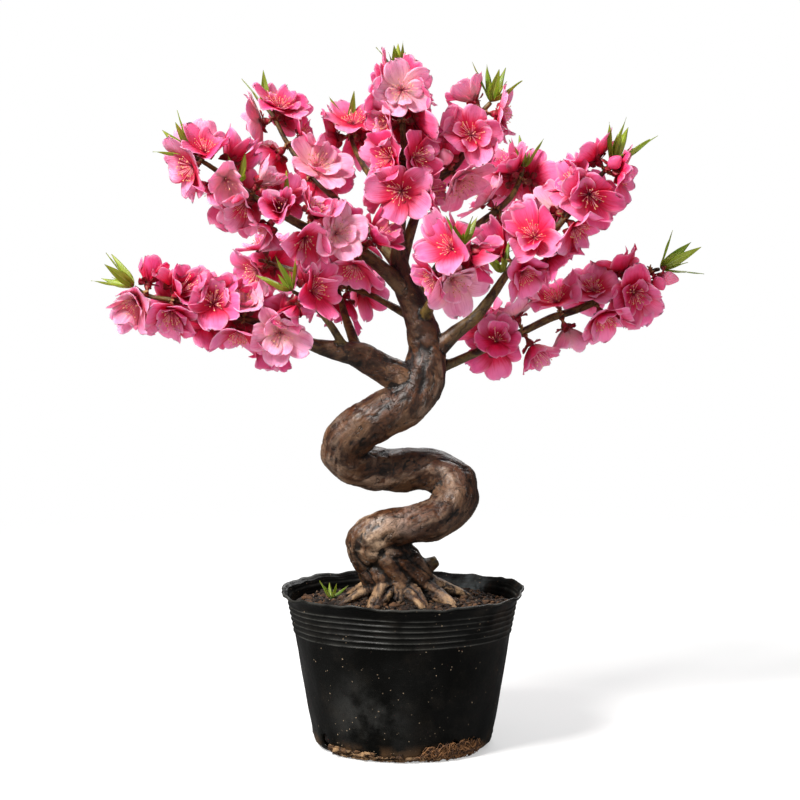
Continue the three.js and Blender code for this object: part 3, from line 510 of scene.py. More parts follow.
class Room:
    """The room that a bloom's neighbours and the limbs leave it, as planes in the bloom's own axes."""

    AZIMUTHS = 48
    STEPS = 16
    LEAST_FOLD = 0.28
    LOWEST_TILT = 1.75
    PETAL_PRESS = 5 * MM
    LIMB_PRESS = 0.8 * MM
    BLOOMS_WITHIN = 2.6 * SIZE.radius
    LEAVES_WITHIN = 1.6 * SIZE.radius

    def __init__(self, bloom: Bloom, blooms: Iterable[Bloom], tree: Tree, leaves: Sequence[list[Vector]]) -> None:
        """Finds the planes.

        Args:
            bloom: the bloom that needs room.
            blooms: all the blooms of the tree.
            tree: the measured limbs.
            leaves: the spine of each tuft among the blooms.
        """
        normals, slacks = [], []
        back = bloom.turn.inverted()

        def bound(point: Vector, normal: Vector, press: float) -> None:
            """Adds the plane through a point, with its normal to the bloom's side."""
            slacks.append((bloom.hub - point).dot(normal) - CLEARANCE / 2 + press)
            normals.append(back @ normal)

        def bound_between(spine: list[Vector], press: float) -> None:
            """Adds the plane half way to another spine.

            Args:
                spine: the neighbour's places.
                press: how far the bloom may press past the plane.
            """
            pairs = [(mine, theirs) for mine in bloom.spine() for theirs in spine]
            mine, theirs = min(pairs, key=lambda pair: (pair[0] - pair[1]).length)
            bound(mine.lerp(theirs, 0.5), (mine - theirs).normalized(), press)

        for other in blooms:
            if other is not bloom and (bloom.head - other.head).length <= self.BLOOMS_WITHIN:
                bound_between(other.spine(), self.PETAL_PRESS)
        for spine in leaves:
            if min((bloom.head - place).length for place in spine) < self.LEAVES_WITHIN:
                bound_between(spine, 0)
        for places, radii in tree.marks:
            nearest = []
            for mine in (bloom.hub, bloom.head):
                clear = np.linalg.norm(places - np.array(mine), axis=1) - radii
                index = int(clear.argmin())
                nearest.append((float(clear[index]), mine, Vector(places[index])))
            clear, mine, theirs = min(nearest, key=lambda found: found[0])
            if 1 * MM <= clear <= SIZE.radius:
                normal = (mine - theirs).normalized()
                bound(mine - normal * clear, normal, self.LIMB_PRESS)
        self.normals = np.array(normals).reshape(-1, 3)
        self.slacks = np.array(slacks)
        reach, rise = (share * SIZE.radius * bloom.size for share in RIMS[bloom.stage].outer)
        rise += SIZE.hub_drop
        self.rim_tilt = math.atan2(reach, rise)
        self.folds = self._folds(math.hypot(reach, rise))

    def _folds(self, far: float) -> Array:
        """Finds how much the petals have to fold up at each azimuth.

        Args:
            far: how far the petals' rim is from the hub.

        Returns:
            A fold for each azimuth, which is 1 where the petals have all their room.
        """
        flats = np.linspace(0, TURN, self.AZIMUTHS + 1)
        folds = np.full(len(flats), self.LEAST_FOLD)
        for step in reversed(range(self.STEPS)):
            fold = 1 - (1 - self.LEAST_FOLD) * step / self.STEPS
            tilt = self.rim_tilt * fold
            rim = far * np.stack([np.sin(tilt) * np.cos(flats), np.sin(tilt) * np.sin(flats),
                                  np.full(len(flats), np.cos(tilt))], axis=1)
            free = (rim @ self.normals.T + self.slacks >= 0).all(axis=1)
            folds[free] = fold
        ring = folds[:-1]
        eased = (np.roll(ring, 1) + 2 * ring + np.roll(ring, -1)) / 4
        return np.append(eased, eased[0])

    def bend(self, offsets: Array) -> Array:
        """Bends the petals clear: folded up first, and drawn in if that is not enough.

        Args:
            offsets: places round the hub, in the bloom's own axes.

        Returns:
            The bent places.
        """
        reach = np.maximum(np.linalg.norm(offsets, axis=1), 1e-9)
        tilt = np.arccos(np.clip(offsets[:, 2] / reach, -1, 1))
        flat = np.mod(np.arctan2(offsets[:, 1], offsets[:, 0]), TURN)
        fold = np.interp(flat, np.linspace(0, TURN, self.AZIMUTHS + 1), self.folds)
        under = np.clip((self.LOWEST_TILT - tilt) / (self.LOWEST_TILT - self.rim_tilt), 0, 1)
        tilt = tilt * (1 + (fold - 1) * under)
        ways = np.stack([np.sin(tilt) * np.cos(flat), np.sin(tilt) * np.sin(flat), np.cos(tilt)], axis=1)
        bent = ways * reach[:, None]
        kept = np.ones(len(bent))
        for normal, slack in zip(self.normals, self.slacks):
            inward = bent @ normal
            over = (slack + inward < 0) & (slack > 0)
            kept[over] = np.minimum(kept[over], slack / -inward[over])
        return bent * kept[:, None]


# ---- shader building ----


class Nodes:
    """Builds a node tree in few words. A value is a socket, a number or a list of numbers."""

    def __init__(self, tree: bpy.types.NodeTree) -> None:
        """Keeps the tree that the nodes go into."""
        self.tree = tree

    def add(self, kind: str, **settings: object) -> bpy.types.Node:
        """Adds a node.

        Args:
            kind: the node's type.
            settings: its own settings, such as its operation.

        Returns:
            The node.
        """
        node = self.tree.nodes.new(kind)
        for name, value in settings.items():
            setattr(node, name, value)
        return node

    def feed(self, sockets: object, **values: object) -> None:
        """Links sockets to others, or sets their values.

        Args:
            sockets: a node's inputs.
            values: what goes into each socket, by its name in small letters or as i and its number.
        """
        for name, value in values.items():
            key = name.replace("_", " ").title().replace("Ior", "IOR")
            socket = sockets[int(name[1:])] if name[1:].isdigit() else sockets[key]
            if isinstance(value, Socket):
                self.tree.links.new(value, socket)
            else:
                socket.default_value = value

    def made(self, kind: str, settings: dict[str, object], **values: object) -> bpy.types.NodeOutputs:
        """Adds a node and feeds it.

        Args:
            kind: the node's type.
            settings: its own settings, such as its operation.
            values: what goes into its sockets, named as for feed.

        Returns:
            What it puts out.
        """
        node = self.add(kind, **settings)
        self.feed(node.inputs, **values)
        return node.outputs

    def mix(self, factor: object, first: object, second: object) -> Socket:
        """Mixes two colours."""
        return self.made("ShaderNodeMix", {"data_type": "RGBA"}, i0=factor, i6=first, i7=second)[2]

    def coats(self, body: object, *coats: tuple[object, object]) -> Socket:
        """Lays coats of colour over a body colour.

        Args:
            body: the body colour.
            coats: the mask and the colour of each coat, the lowest first.

        Returns:
            The colour with its coats.
        """
        for mask, colour in coats:
            body = self.mix(mask, body, colour if isinstance(colour, Socket) else srgb(*colour))
        return body

    def math(self, kind: str, first: object, second: object = 0.0, clamp: bool = False) -> Socket:
        """Works out one value from two."""
        return self.made("ShaderNodeMath", {"operation": kind, "use_clamp": clamp}, i0=first, i1=second)[0]

    def times(self, first: object, second: object) -> Socket:
        """The product of two values."""
        return self.math("MULTIPLY", first, second)

    def span(self, value: object, low: object, high: object, first: object = 0.0, second: object = 1.0) -> Socket:
        """Eases a value between low and high onto first to second."""
        return self.made("ShaderNodeMapRange", {"interpolation_type": "SMOOTHSTEP"}, value=value, from_min=low,
                         from_max=high, to_min=first, to_max=second)["Result"]

    def noise(self, where: object, scale: object, detail: float = 3.0, rough: float = 0.55) -> Socket:
        """A cloudy value round 0.5."""
        return self.made("ShaderNodeTexNoise", {}, vector=where, scale=scale, detail=detail, roughness=rough)["Fac"]

    def patches(self, where: object, scale: object, detail: float, low: float, high: float, share: float = 1.0,
                rough: float = 0.55) -> Socket:
        """Soft patches: a cloudy value between low and high, eased onto 0 to a share."""
        return self.span(self.noise(where, scale, detail, rough), low, high, 0.0, share)

    def cells(self, where: object, scale: float) -> Socket:
        """The distance to the middle of the nearest scattered cell."""
        return self.made("ShaderNodeTexVoronoi", {}, vector=where, scale=scale)["Distance"]

    def stretch(self, where: object, scale: Triple) -> Socket:
        """Scales a place along its three axes."""
        return self.made("ShaderNodeMapping", {}, vector=where, scale=scale)["Vector"]

    def attribute(self, name: str) -> Socket:
        """An attribute of the mesh, as three numbers."""
        return self.add("ShaderNodeAttribute", attribute_name=name).outputs["Vector"]

    def petal_map(self) -> Socket:
        """The place on a petal or a leaf: across it, and along it."""
        return self.add("ShaderNodeUVMap", uv_map="petal").outputs["UV"]

    def place(self) -> Socket:
        """The place on the object."""
        return self.add("ShaderNodeTexCoord").outputs["Object"]

    def parts(self, where: object) -> tuple[Socket, ...]:
        """The three numbers of a vector."""
        return tuple(self.made("ShaderNodeSeparateXYZ", {}, i0=where))

    def bump(self, height: object, strength: float, depth: float, **under: object) -> Socket:
        """A normal that follows a height, over another normal if one is given."""
        return self.made("ShaderNodeBump", {}, height=height, strength=strength, distance=depth, **under)["Normal"]

    def group(self, tree: bpy.types.NodeTree, **values: object) -> bpy.types.NodeOutputs:
        """Places a shared group with its own values, and gives what it puts out."""
        return self.made("ShaderNodeGroup", {"node_tree": tree}, **values)


def new_material(name: str) -> tuple[Material, Nodes, bpy.types.NodeInputs]:
    """Starts a material.

    Args:
        name: its name.

    Returns:
        The material, its nodes and the inputs of its surface shader.
    """
    material = bpy.data.materials.new(name)
    material.use_nodes = True
    return material, Nodes(material.node_tree), material.node_tree.nodes["Principled BSDF"].inputs


def new_group(name: str, inputs: dict[str, str], outputs: dict[str, str]) -> tuple[Nodes, object, object]:
    """Starts a shader group.

    Args:
        name: the group's name.
        inputs: the name and the kind of each input.
        outputs: the name and the kind of each output.

    Returns:
        Its nodes, what it is given and what it puts out.
    """
    tree = bpy.data.node_groups.new(name, "ShaderNodeTree")
    for way, sockets in (("INPUT", inputs), ("OUTPUT", outputs)):
        for socket, kind in sockets.items():
            tree.interface.new_socket(socket, in_out=way, socket_type=f"NodeSocket{kind}")
    nodes = Nodes(tree)
    return nodes, nodes.add("NodeGroupInput").outputs, nodes.add("NodeGroupOutput").inputs


def grime_group() -> bpy.types.NodeTree:
    """Makes the dust and fine dirt specks that the pot and the bark share.

    Returns:
        A group that mixes dust and specks over a colour and puts out their mask.
    """
    nodes, given, result = new_group("fine_grime", {"Base": "Color", "Dust": "Color", "Amount": "Float",
                                                    "Place": "Vector"}, {"Color": "Color", "Mask": "Float"})
    where = given["Place"]
    film = nodes.patches(where, 38, 5, 0.46, 0.78, rough=0.65)
    ragged = nodes.math("ADD", nodes.cells(where, 260), nodes.times(nodes.noise(where, 800, 2), 0.34))
    specks = nodes.times(nodes.span(ragged, 0.32, 0.22), nodes.patches(where, 90, 2, 0.5, 0.62))
    dirt = nodes.math("MAXIMUM", nodes.times(film, 0.22), nodes.times(specks, 8.0))
    mask = nodes.math("MULTIPLY", dirt, given["Amount"], clamp=True)
    nodes.feed(result, color=nodes.mix(mask, given["Base"], given["Dust"]), mask=mask)
    return nodes.tree


def spot_group() -> bpy.types.NodeTree:
    """Makes the soft ragged patch that the pot's painted sheens and the bark's painted highlights share.

    Returns:
        A group whose mask is 1 in the patch's middle and 0 away from it.
    """
    nodes, given, result = new_group("soft_spot", {"Place": "Vector", "Middle": "Vector", "Reach": "Float",
                                                   "Detail": "Float"}, {"Mask": "Float"})
    apart = nodes.made("ShaderNodeVectorMath", {"operation": "DISTANCE"}, i0=given["Place"], i1=given["Middle"])
    near = nodes.span(apart["Value"], given["Reach"], 6 * MM)
    ragged = nodes.patches(given["Place"], given["Detail"], 5, 0.4, 0.66, rough=0.62)
    nodes.feed(result, mask=nodes.times(near, ragged))
    return nodes.tree


Spot = tuple[Triple, float, float, Colour]


class Finishes:
    """Every finish of the object, made once. A spot has a middle and a reach in mm, a share and a colour."""

    # Pale spots where the light falls on the coils: painted highlights and sheen; the first also stands for pale
    # flaky bark.
    PAINTED_HIGHLIGHTS: tuple[Spot, ...] = (
        ((-31, -24, 163), 38, 0.95, (206, 172, 140)), ((0, -30, 178), 30, 0.6, (172, 144, 130)),
        ((38, -22, 212), 30, 0.45, (150, 128, 118)))
    # Pale spots on the pot: a grey smudge low on the front left, partly dust and partly painted sheen, and a
    # painted reflection of the light on the inner back wall.
    PAINTED_SHEENS: tuple[Spot, ...] = (
        ((-26, -68, 32), 44, 0.5, (60, 60, 58)), ((50, 66, 109), 34, 0.9, (98, 104, 106)))

    def __init__(self) -> None:
        """Makes the shared groups and the materials."""
        self.grime, self.spot = grime_group(), spot_group()
        self.petal = self._petal()
        self.filament = self._plain("stamen_filament", srgb(252, 170, 182), srgb(236, 110, 142), 0.5)
        self.anther = self._plain("stamen_anther", srgb(246, 202, 150), srgb(198, 112, 74), 0.7)
        self.calyx = self._plain("calyx_and_stalk", srgb(168, 18, 52), srgb(112, 46, 34), 0.5)
        self.scale = self._plain("bud_scale", srgb(158, 126, 78), srgb(128, 52, 44), 0.7)
        self.leaf = self._leaf()
        self.bark = self._bark()
        self.soil = self._soil("potting_soil", (9, 4, 1), (48, 29, 16), (106, 74, 48))
        self.crust = self._soil("dried_crust", (42, 26, 14), (112, 80, 50), (166, 132, 94))
        self.pot = self._pot()
        self.rootlet = self._plain("rootlet", srgb(128, 88, 52), srgb(66, 42, 26), 0.85)

    @staticmethod
    def _plain(name: str, first: tuple, second: tuple, rough: float) -> Material:
        """Makes a small part's finish: two colours in soft patches with a little grain.

        Args:
            name: the material's name.
            first: the colour of most of it.
            second: the colour of its patches.
            rough: how matt it is.

        Returns:
            The material.
        """
        material, nodes, surface = new_material(name)
        where = nodes.place()
        nodes.feed(surface, base_color=nodes.mix(nodes.patches(where, 260, 3, 0.4, 0.62), first, second),
                   normal=nodes.bump(nodes.noise(where, 1500, 2), 0.4, 0.2 * MM), roughness=rough)
        return material

    def _spotted(self, nodes: Nodes, body: object, detail: float, spots: Iterable[Spot]) -> Socket:
        """Lays soft ragged spots over a body colour.

        Args:
            nodes: the nodes of the finish.
            body: the body colour.
            detail: how fine the spots' ragged edges are.
            spots: where they are.

        Returns:
            The colour with its spots.
        """
        for middle, reach, share, colour in spots:
            spot = nodes.group(self.spot, place=nodes.place(), middle=Vector(middle) * MM, reach=reach * MM,
                               detail=detail)
            body = nodes.coats(body, (nodes.times(spot["Mask"], share), colour))
        return body

    @staticmethod
    def _petal() -> Material:
        """Silky pink petals: a crimson throat, fine veins and paler edges.

        Returns:
            The material.
        """
        material, nodes, surface = new_material("petal_silk")
        across, along, _ = nodes.parts(nodes.petal_map())
        tone, petal_tone, _ = nodes.parts(nodes.attribute("tint"))
        off = nodes.math("SUBTRACT", across, 0.5)
        flow = nodes.made("ShaderNodeCombineXYZ", {}, x=nodes.times(off, nodes.span(along, 0.0, 1.0, 26, 15)),
                          y=nodes.times(along, 1.4), z=nodes.times(petal_tone, 31.0))
        veins = nodes.noise(flow[0], 1.0, 4, 0.6)
        edge = nodes.span(nodes.math("ABSOLUTE", off), 0.36, 0.5)
        rim = nodes.math("MAXIMUM", nodes.span(along, 0.7, 1.0), edge)
        ragged = nodes.math("ADD", along, nodes.times(nodes.math("SUBTRACT", veins, 0.5), 0.5))
        heart = nodes.mix(nodes.span(tone, 0.82, 0.9), srgb(206, 8, 56), srgb(252, 172, 182))
        body = nodes.coats(
            srgb(228, 54, 116),
            (nodes.span(tone, 0.0, 0.55), (244, 106, 160)),
            (nodes.span(tone, 0.55, 1.0), (252, 162, 192)),
            (nodes.times(petal_tone, 0.46), (250, 164, 198)),
            (nodes.patches(nodes.place(), 85, 3, 0.42, 0.66, 0.35), (214, 52, 116)),
            (nodes.times(rim, 0.5), (254, 182, 204)),
            (nodes.times(nodes.span(veins, 0.5, 0.68), nodes.span(along, 1.0, 0.25, 0.05, 0.5)), (200, 30, 92)),
            (nodes.times(nodes.span(ragged, 0.68, 0.26), 0.94), heart))
        nodes.feed(surface, base_color=body, roughness=nodes.span(veins, 0.3, 0.7, 0.45, 0.62),
                   normal=nodes.bump(veins, 0.8, 0.7 * MM), specular_ior_level=0.2,
                   subsurface_weight=0.45, subsurface_scale=1.8 * MM, subsurface_radius=(1.0, 0.3, 0.42))
        return material

    @staticmethod
    def _leaf() -> Material:
        """Fresh young leaves: a pale midrib, side veins and a warm tint at some tips.

        Returns:
            The material.
        """
        material, nodes, surface = new_material("young_leaf")
        where = nodes.place()
        across, along, _ = nodes.parts(nodes.petal_map())
        tone, _, _ = nodes.parts(nodes.attribute("tint"))
        edge = nodes.math("ABSOLUTE", nodes.math("SUBTRACT", across, 0.5))
        slant = nodes.math("SUBTRACT", along, nodes.times(edge, 0.35))
        side = nodes.math("SINE", nodes.times(slant, 88.0))
        body = nodes.coats(
            srgb(62, 98, 10),
            (tone, (132, 152, 28)),
            (nodes.span(along, 0.55, 1.0, 0, 0.3), (150, 132, 36)),
            (nodes.times(nodes.span(side, 0.72, 1.0), 0.3), (146, 172, 54)),
            (nodes.span(edge, 0.06, 0.01, 0, 0.7), (178, 190, 84)),
            (nodes.patches(where, 120, 3, 0.45, 0.7, 0.3), (52, 86, 18)))
        nodes.feed(surface, base_color=body, normal=nodes.bump(side, 0.25, 0.15 * MM),
                   roughness=nodes.span(nodes.noise(where, 300, 2), 0.3, 0.7, 0.36, 0.52),
                   subsurface_weight=0.15, subsurface_scale=1.5 * MM, subsurface_radius=(0.5, 1.0, 0.2))
        return material

    def _bark(self) -> Material:
        """Furrowed bark: grey-brown ridges with a painted sheen on their crests, rust patches, painted highlight
        spots, and creases and hollows painted near-black as shade.

        Returns:
            The material.
        """
        material, nodes, surface = new_material("peach_bark")
        flow = nodes.attribute("bark")
        # relief carries the painted shade of creases and hollows and the painted sheen of ridges.
        relief, age, rooty = nodes.parts(nodes.attribute("painted_light_and_wear"))
        cloud = nodes.made("ShaderNodeTexNoise", {}, vector=flow, scale=95)["Color"]
        bent = nodes.made("ShaderNodeVectorMath", {"operation": "MULTIPLY_ADD"}, i0=cloud, i1=(0.012, 0.012, 0.016),
                          i2=flow)["Vector"]
        streaks = nodes.noise(nodes.stretch(bent, (1, 1, 0.35)), 230, 6, 0.66)
        grain = nodes.noise(nodes.stretch(bent, (1, 1, 0.6)), 900, 4, 0.65)
        flecks = nodes.noise(nodes.stretch(bent, (1, 1, 0.7)), 430, 4, 0.7)
        blotch = nodes.noise(bent, 42, 5, 0.66)
        long_cracks = self._crack(nodes, nodes.stretch(bent, (1, 1, 0.22)), 82, nodes.noise(flow, 48, 3))
        cross_cracks = self._crack(nodes, nodes.stretch(bent, (0.4, 0.4, 1.5)), 96, nodes.noise(flow, 66, 3))
        cracks = nodes.times(nodes.math("MAXIMUM", long_cracks, cross_cracks), nodes.span(age, 0.2, 0.7))
        body = nodes.coats(
            srgb(32, 13, 2),
            (nodes.span(streaks, 0.34, 0.66), (86, 48, 20)),
            (nodes.span(blotch, 0.44, 0.62, 0, 0.6), (54, 27, 8)),
            (nodes.patches(bent, 40, 4, 0.48, 0.62, 0.6, 0.6), (118, 84, 56)),
            (nodes.patches(bent, 90, 4, 0.6, 0.7, 0.3, 0.6), (124, 74, 36)),
            # Paler tops of the ridges: a painted sheen.
            (nodes.span(relief, 0.6, 0.95, 0, 0.55), (158, 128, 104)))
        # Lays the pale spots: painted highlights where the light falls on the coils.
        body = self._spotted(nodes, body, 70, self.PAINTED_HIGHLIGHTS)
        tan = nodes.mix(nodes.span(streaks, 0.4, 0.6), srgb(26, 14, 6), srgb(176, 140, 100))
        dry = nodes.times(nodes.times(rooty, nodes.span(relief, 0.3, 0.6)),
                          nodes.span(blotch, 0.35, 0.6, 0.3, 0.9))
        young = nodes.mix(nodes.span(streaks, 0.38, 0.62), srgb(46, 28, 8), srgb(112, 90, 40))
        body = nodes.coats(
            body,
            (nodes.span(grain, 0.5, 0.34, 0, 0.5), (28, 13, 3)),
            (nodes.span(flecks, 0.46, 0.36, 0, 0.35), (26, 13, 5)),
            # Creases, forks and the gaps between roots made near-black: painted shade.
            (nodes.span(relief, 0.42, 0.05, 0, 0.94), (12, 6, 2)),
            (dry, tan),
            (nodes.span(age, 0.8, 0.2), young),
            (nodes.times(cracks, 0.6), (16, 10, 6)))
        dusted = nodes.group(self.grime, base=body, dust=srgb(160, 128, 92), amount=0.06, place=nodes.place())
        smoothed = nodes.times(nodes.patches(bent, 36, 3, 0.36, 0.54), nodes.span(rooty, 0.5, 0.1))
        height = nodes.math("ADD", nodes.times(streaks, 0.5), nodes.times(grain, 0.3))
        height = nodes.math("ADD", height, nodes.times(flecks, 0.5))
        height = nodes.math("SUBTRACT", height, nodes.times(cracks, 0.9))
        height = nodes.times(height, nodes.span(smoothed, 0, 1, 1.0, 0.45))
        nodes.feed(surface, base_color=dusted["Color"], roughness=nodes.span(smoothed, 0, 1, 0.58, 0.44),
                   normal=nodes.bump(height, 1.0, 1.4 * MM), specular_ior_level=0.6)
        return material

    @staticmethod
    def _crack(nodes: Nodes, where: object, scale: float, cover: object) -> Socket:
        """Thin wandering cracks where the cover is high: 1 in a crack and 0 away from it."""
        ridge = nodes.math("ABSOLUTE", nodes.math("SUBTRACT", nodes.noise(where, scale, 3, 0.5), 0.5))
        return nodes.times(nodes.span(ridge, 0.011, 0.0), nodes.span(cover, 0.44, 0.56))

    @staticmethod
    def _soil(name: str, dark: Colour, mid: Colour, pale: Colour) -> Material:
        """Makes crumbly soil: clods of several tones with pale bits in it.

        Args:
            name: the material's name.
            dark: the colour of its pits.
            mid: the colour of its crumbs.
            pale: the colour of its driest clods.

        Returns:
            The material.
        """
        material, nodes, surface = new_material(name)
        where = nodes.place()
        clod, _, _ = nodes.parts(nodes.attribute("tint"))
        crumbs = nodes.noise(where, 260, 5, 0.72)
        bits = nodes.times(nodes.span(nodes.cells(where, 420), 0.22, 0.12),
                           nodes.patches(where, 110, 2, 0.48, 0.58))
        body = nodes.coats(
            srgb(*dark),
            (nodes.span(crumbs, 0.38, 0.66), mid),
            (nodes.span(clod, 0.35, 1.0, 0, 0.8), pale),
            (nodes.patches(where, 60, 3, 0.48, 0.66, 0.55), dark),
            (nodes.times(bits, 0.7), (190, 158, 124)))
        nodes.feed(surface, base_color=body, normal=nodes.bump(crumbs, 1.0, 1.2 * MM), roughness=0.95)
        return material

    def _pot(self) -> Material:
        """Thin black plastic, scuffed and dusty, with dirt near its foot, a brownish tint towards its right side,
        rib crests and a rim edge made paler as rubbed plastic and painted highlight, and painted sheen spots.

        Returns:
            The material.
        """
        material, nodes, surface = new_material("nursery_pot_plastic")
        where = nodes.place()
        right, _, height = nodes.parts(where)
        rubbed_and_lit, _, _ = nodes.parts(nodes.attribute("painted_light_and_wear"))
        cloud = nodes.noise(where, 26, 4, 0.6)
        scuffs = nodes.noise(nodes.stretch(where, (1, 1, 4)), 150, 4, 0.7)
        clouds = nodes.noise(where, 60, 4)
        side = nodes.times(nodes.span(right, 54 * MM, 80 * MM), nodes.patches(where, 55, 5, 0.45, 0.7, rough=0.7))
        foot = nodes.times(nodes.span(height, 15 * MM, 2 * MM), nodes.span(clouds, 0.44, 0.6))
        body = nodes.coats(
            srgb(5, 5, 4),
            (nodes.span(cloud, 0.35, 0.7), (12, 12, 11)),
            (nodes.span(scuffs, 0.6, 0.8, 0, 0.3), (46, 46, 46)))
        body = nodes.coats(
            # Lays the painted sheen spots: the partly dusty front smudge and the painted reflection inside the back
            # wall.
            self._spotted(nodes, body, 34, self.PAINTED_SHEENS),
            # Rib crests and the rim's edge made paler: partly rubbed plastic, partly painted highlight.
            (nodes.times(rubbed_and_lit, nodes.span(clouds, 0.36, 0.62, 0.15, 0.8)), (66, 66, 63)),
            (nodes.times(side, 0.22), (80, 58, 42)),
            (nodes.times(foot, 0.5), (112, 82, 54)))
        dusted = nodes.group(self.grime, base=body, dust=srgb(158, 138, 114), amount=0.1, place=where)
        rough = nodes.math("ADD", nodes.span(cloud, 0.3, 0.7, 0.28, 0.46),
                           nodes.times(dusted["Mask"], 0.4), clamp=True)
        soft = nodes.bump(nodes.noise(where, 70, 3), 0.5, 1.0 * MM)
        nodes.feed(surface, base_color=dusted["Color"], roughness=rough, specular_ior_level=0.13,
                   normal=nodes.bump(scuffs, 0.2, 0.25 * MM, normal=soft))
        return material


# ---- mesh helpers ----


def positions(verts: Sequence[Vert]) -> Array:
    """The places of some vertices."""
    return np.array([vert.co[:] for vert in verts])


def set_positions(verts: Sequence[Vert], places: Array) -> None:
    """Moves vertices to new places."""
    for vert, place in zip(verts, places.tolist()):
        vert.co = place


def read_vertices(mesh: Mesh, key: str = "co") -> Array:
    """Reads the places, or the normals, of a mesh's vertices.

    Args:
        mesh: the mesh.
        key: what is read.

    Returns:
        Three numbers for each vertex.
    """
    flat = np.empty(len(mesh.vertices) * 3, dtype=np.float32)
    mesh.vertices.foreach_get(key, flat)
    return flat.reshape(-1, 3).astype(float)


def move_vertices(mesh: Mesh, places: Array) -> None:
    """Moves a mesh's vertices to new places."""
    mesh.vertices.foreach_set("co", places.astype(np.float32).ravel())
    mesh.update()


def add_vector_layer(mesh: Mesh, name: str, values: Array) -> None:
    """Stores three numbers for each vertex of a mesh."""
    layer = mesh.attributes.new(name, "FLOAT_VECTOR", "POINT")
    layer.data.foreach_set("vector", values.astype(np.float32).ravel())


def new_shape() -> BMesh:
    """Starts a mesh to build in, with the two layers that the finishes read.

    Returns:
        The empty mesh.
    """
    bm = bmesh.new()
    bm.loops.layers.uv.new("petal")
    bm.verts.layers.float_vector.new("tint")
    return bm


def dress(verts: Iterable[Vert], material: int) -> None:
    """Gives the faces of some vertices their finish."""
    for face in {face for vert in verts for face in vert.link_faces}:
        face.material_index, face.smooth = material, True


def add_cone(bm: BMesh, sides: int, foot: float, top: float, depth: float, stand: Matrix) -> list[Vert]:
    """Adds a closed cone or rod about its middle, and gives its vertices."""
    return bmesh.ops.create_cone(bm, cap_ends=True, segments=sides, radius1=foot, radius2=top, depth=depth,
                                 matrix=stand)["verts"]


def add_ball(bm: BMesh, stand: Matrix) -> list[Vert]:
    """Adds a small ball of 1 m, which the stand brings to size."""
    return bmesh.ops.create_icosphere(bm, subdivisions=1, radius=1.0, matrix=stand)["verts"]


def spin_profile(bm: BMesh, profile: Sequence[tuple[float, float]], sides: int) -> None:
    """Spins an outline about the Z axis into a body.

    Args:
        bm: the mesh that it goes into.
        profile: radius and height of the outline's points.
        sides: how many steps a turn has.
    """
    verts = [bm.verts.new((radius, 0, height)) for radius, height in profile]
    edges = [bm.edges.new(pair) for pair in zip(verts, verts[1:])]
    bmesh.ops.spin(bm, geom=verts + edges, cent=(0, 0, 0), axis=(0, 0, 1), angle=TURN, steps=sides, use_merge=True)
    bmesh.ops.remove_doubles(bm, verts=bm.verts, dist=MERGE)


def shaped_grid(bm: BMesh, across: int, along: int, shape: Shape, tone: Sequence[float] = (0.5, 0.5, 0.0),
                thickness: float = 0.0, material: int = 0, closed: bool = False) -> list[Vert]:
    """Adds a grid that a formula bends into a petal, a leaf, a scale or a tube.

    Args:
        bm: the mesh that it goes into.
        across: cells across.
        along: cells along.
        shape: gives places for u from -1 to 1 across and v from 0 to 1 along.
        tone: three numbers that the finish reads.
        thickness: how thick the sheet becomes, if at all.
        material: the index of its finish.
        closed: whether its two sides meet, as in a tube, whose ends are then filled.

    Returns:
        The new vertices.
    """
    uv_layer, tint_layer = bm.loops.layers.uv["petal"], bm.verts.layers.float_vector["tint"]
    before = set(bm.verts)
    made = bmesh.ops.create_grid(bm, x_segments=across, y_segments=along, size=1.0)["verts"]
    flat = positions(made)
    faces = list({face for vert in made for face in vert.link_faces})
    dress(made, material)
    for vert in made:
        vert[tint_layer] = tone
        for loop in vert.link_loops:
            loop[uv_layer].uv = (vert.co.x * 0.5 + 0.5, vert.co.y * 0.5 + 0.5)
    set_positions(made, shape(flat[:, 0], flat[:, 1] * 0.5 + 0.5))
    if closed:
        bmesh.ops.remove_doubles(bm, verts=made, dist=MERGE)
        open_edges = [edge for edge in bm.edges if edge.is_boundary and edge.verts[0] not in before]
        for face in bmesh.ops.holes_fill(bm, edges=open_edges, sides=0)["faces"]:
            face.material_index = material
    elif thickness:
        geometry = faces + [edge for edge in bm.edges if edge.verts[0] not in before] + made
        bmesh.ops.solidify(bm, geom=geometry, thickness=thickness)
    return [vert for vert in bm.verts if vert not in before]


def to_mesh(bm: BMesh, name: str) -> Mesh:
    """Turns a built shape, which is freed, into a mesh.

    Args:
        bm: the built shape.
        name: the mesh's name.

    Returns:
        The mesh.
    """
    mesh = bpy.data.meshes.new(name)
    bm.to_mesh(mesh)
    bm.free()
    return mesh


def link(name: str, data: bpy.types.ID) -> bpy.types.Object:
    """Puts a mesh, a light or a camera into the scene.

    Args:
        name: the object's name.
        data: what it shows.

    Returns:
        The object.
    """
    thing = bpy.data.objects.new(name, data)
    bpy.context.scene.collection.objects.link(thing)
    return thing


def applied(thing: bpy.types.Object) -> Mesh:
    """Applies an object's modifiers and removes the object.

    Args:
        thing: the object.

    Returns:
        Its finished mesh.
    """
    mesh = bpy.data.meshes.new_from_object(thing.evaluated_get(bpy.context.evaluated_depsgraph_get()))
    bpy.data.objects.remove(thing)
    return mesh


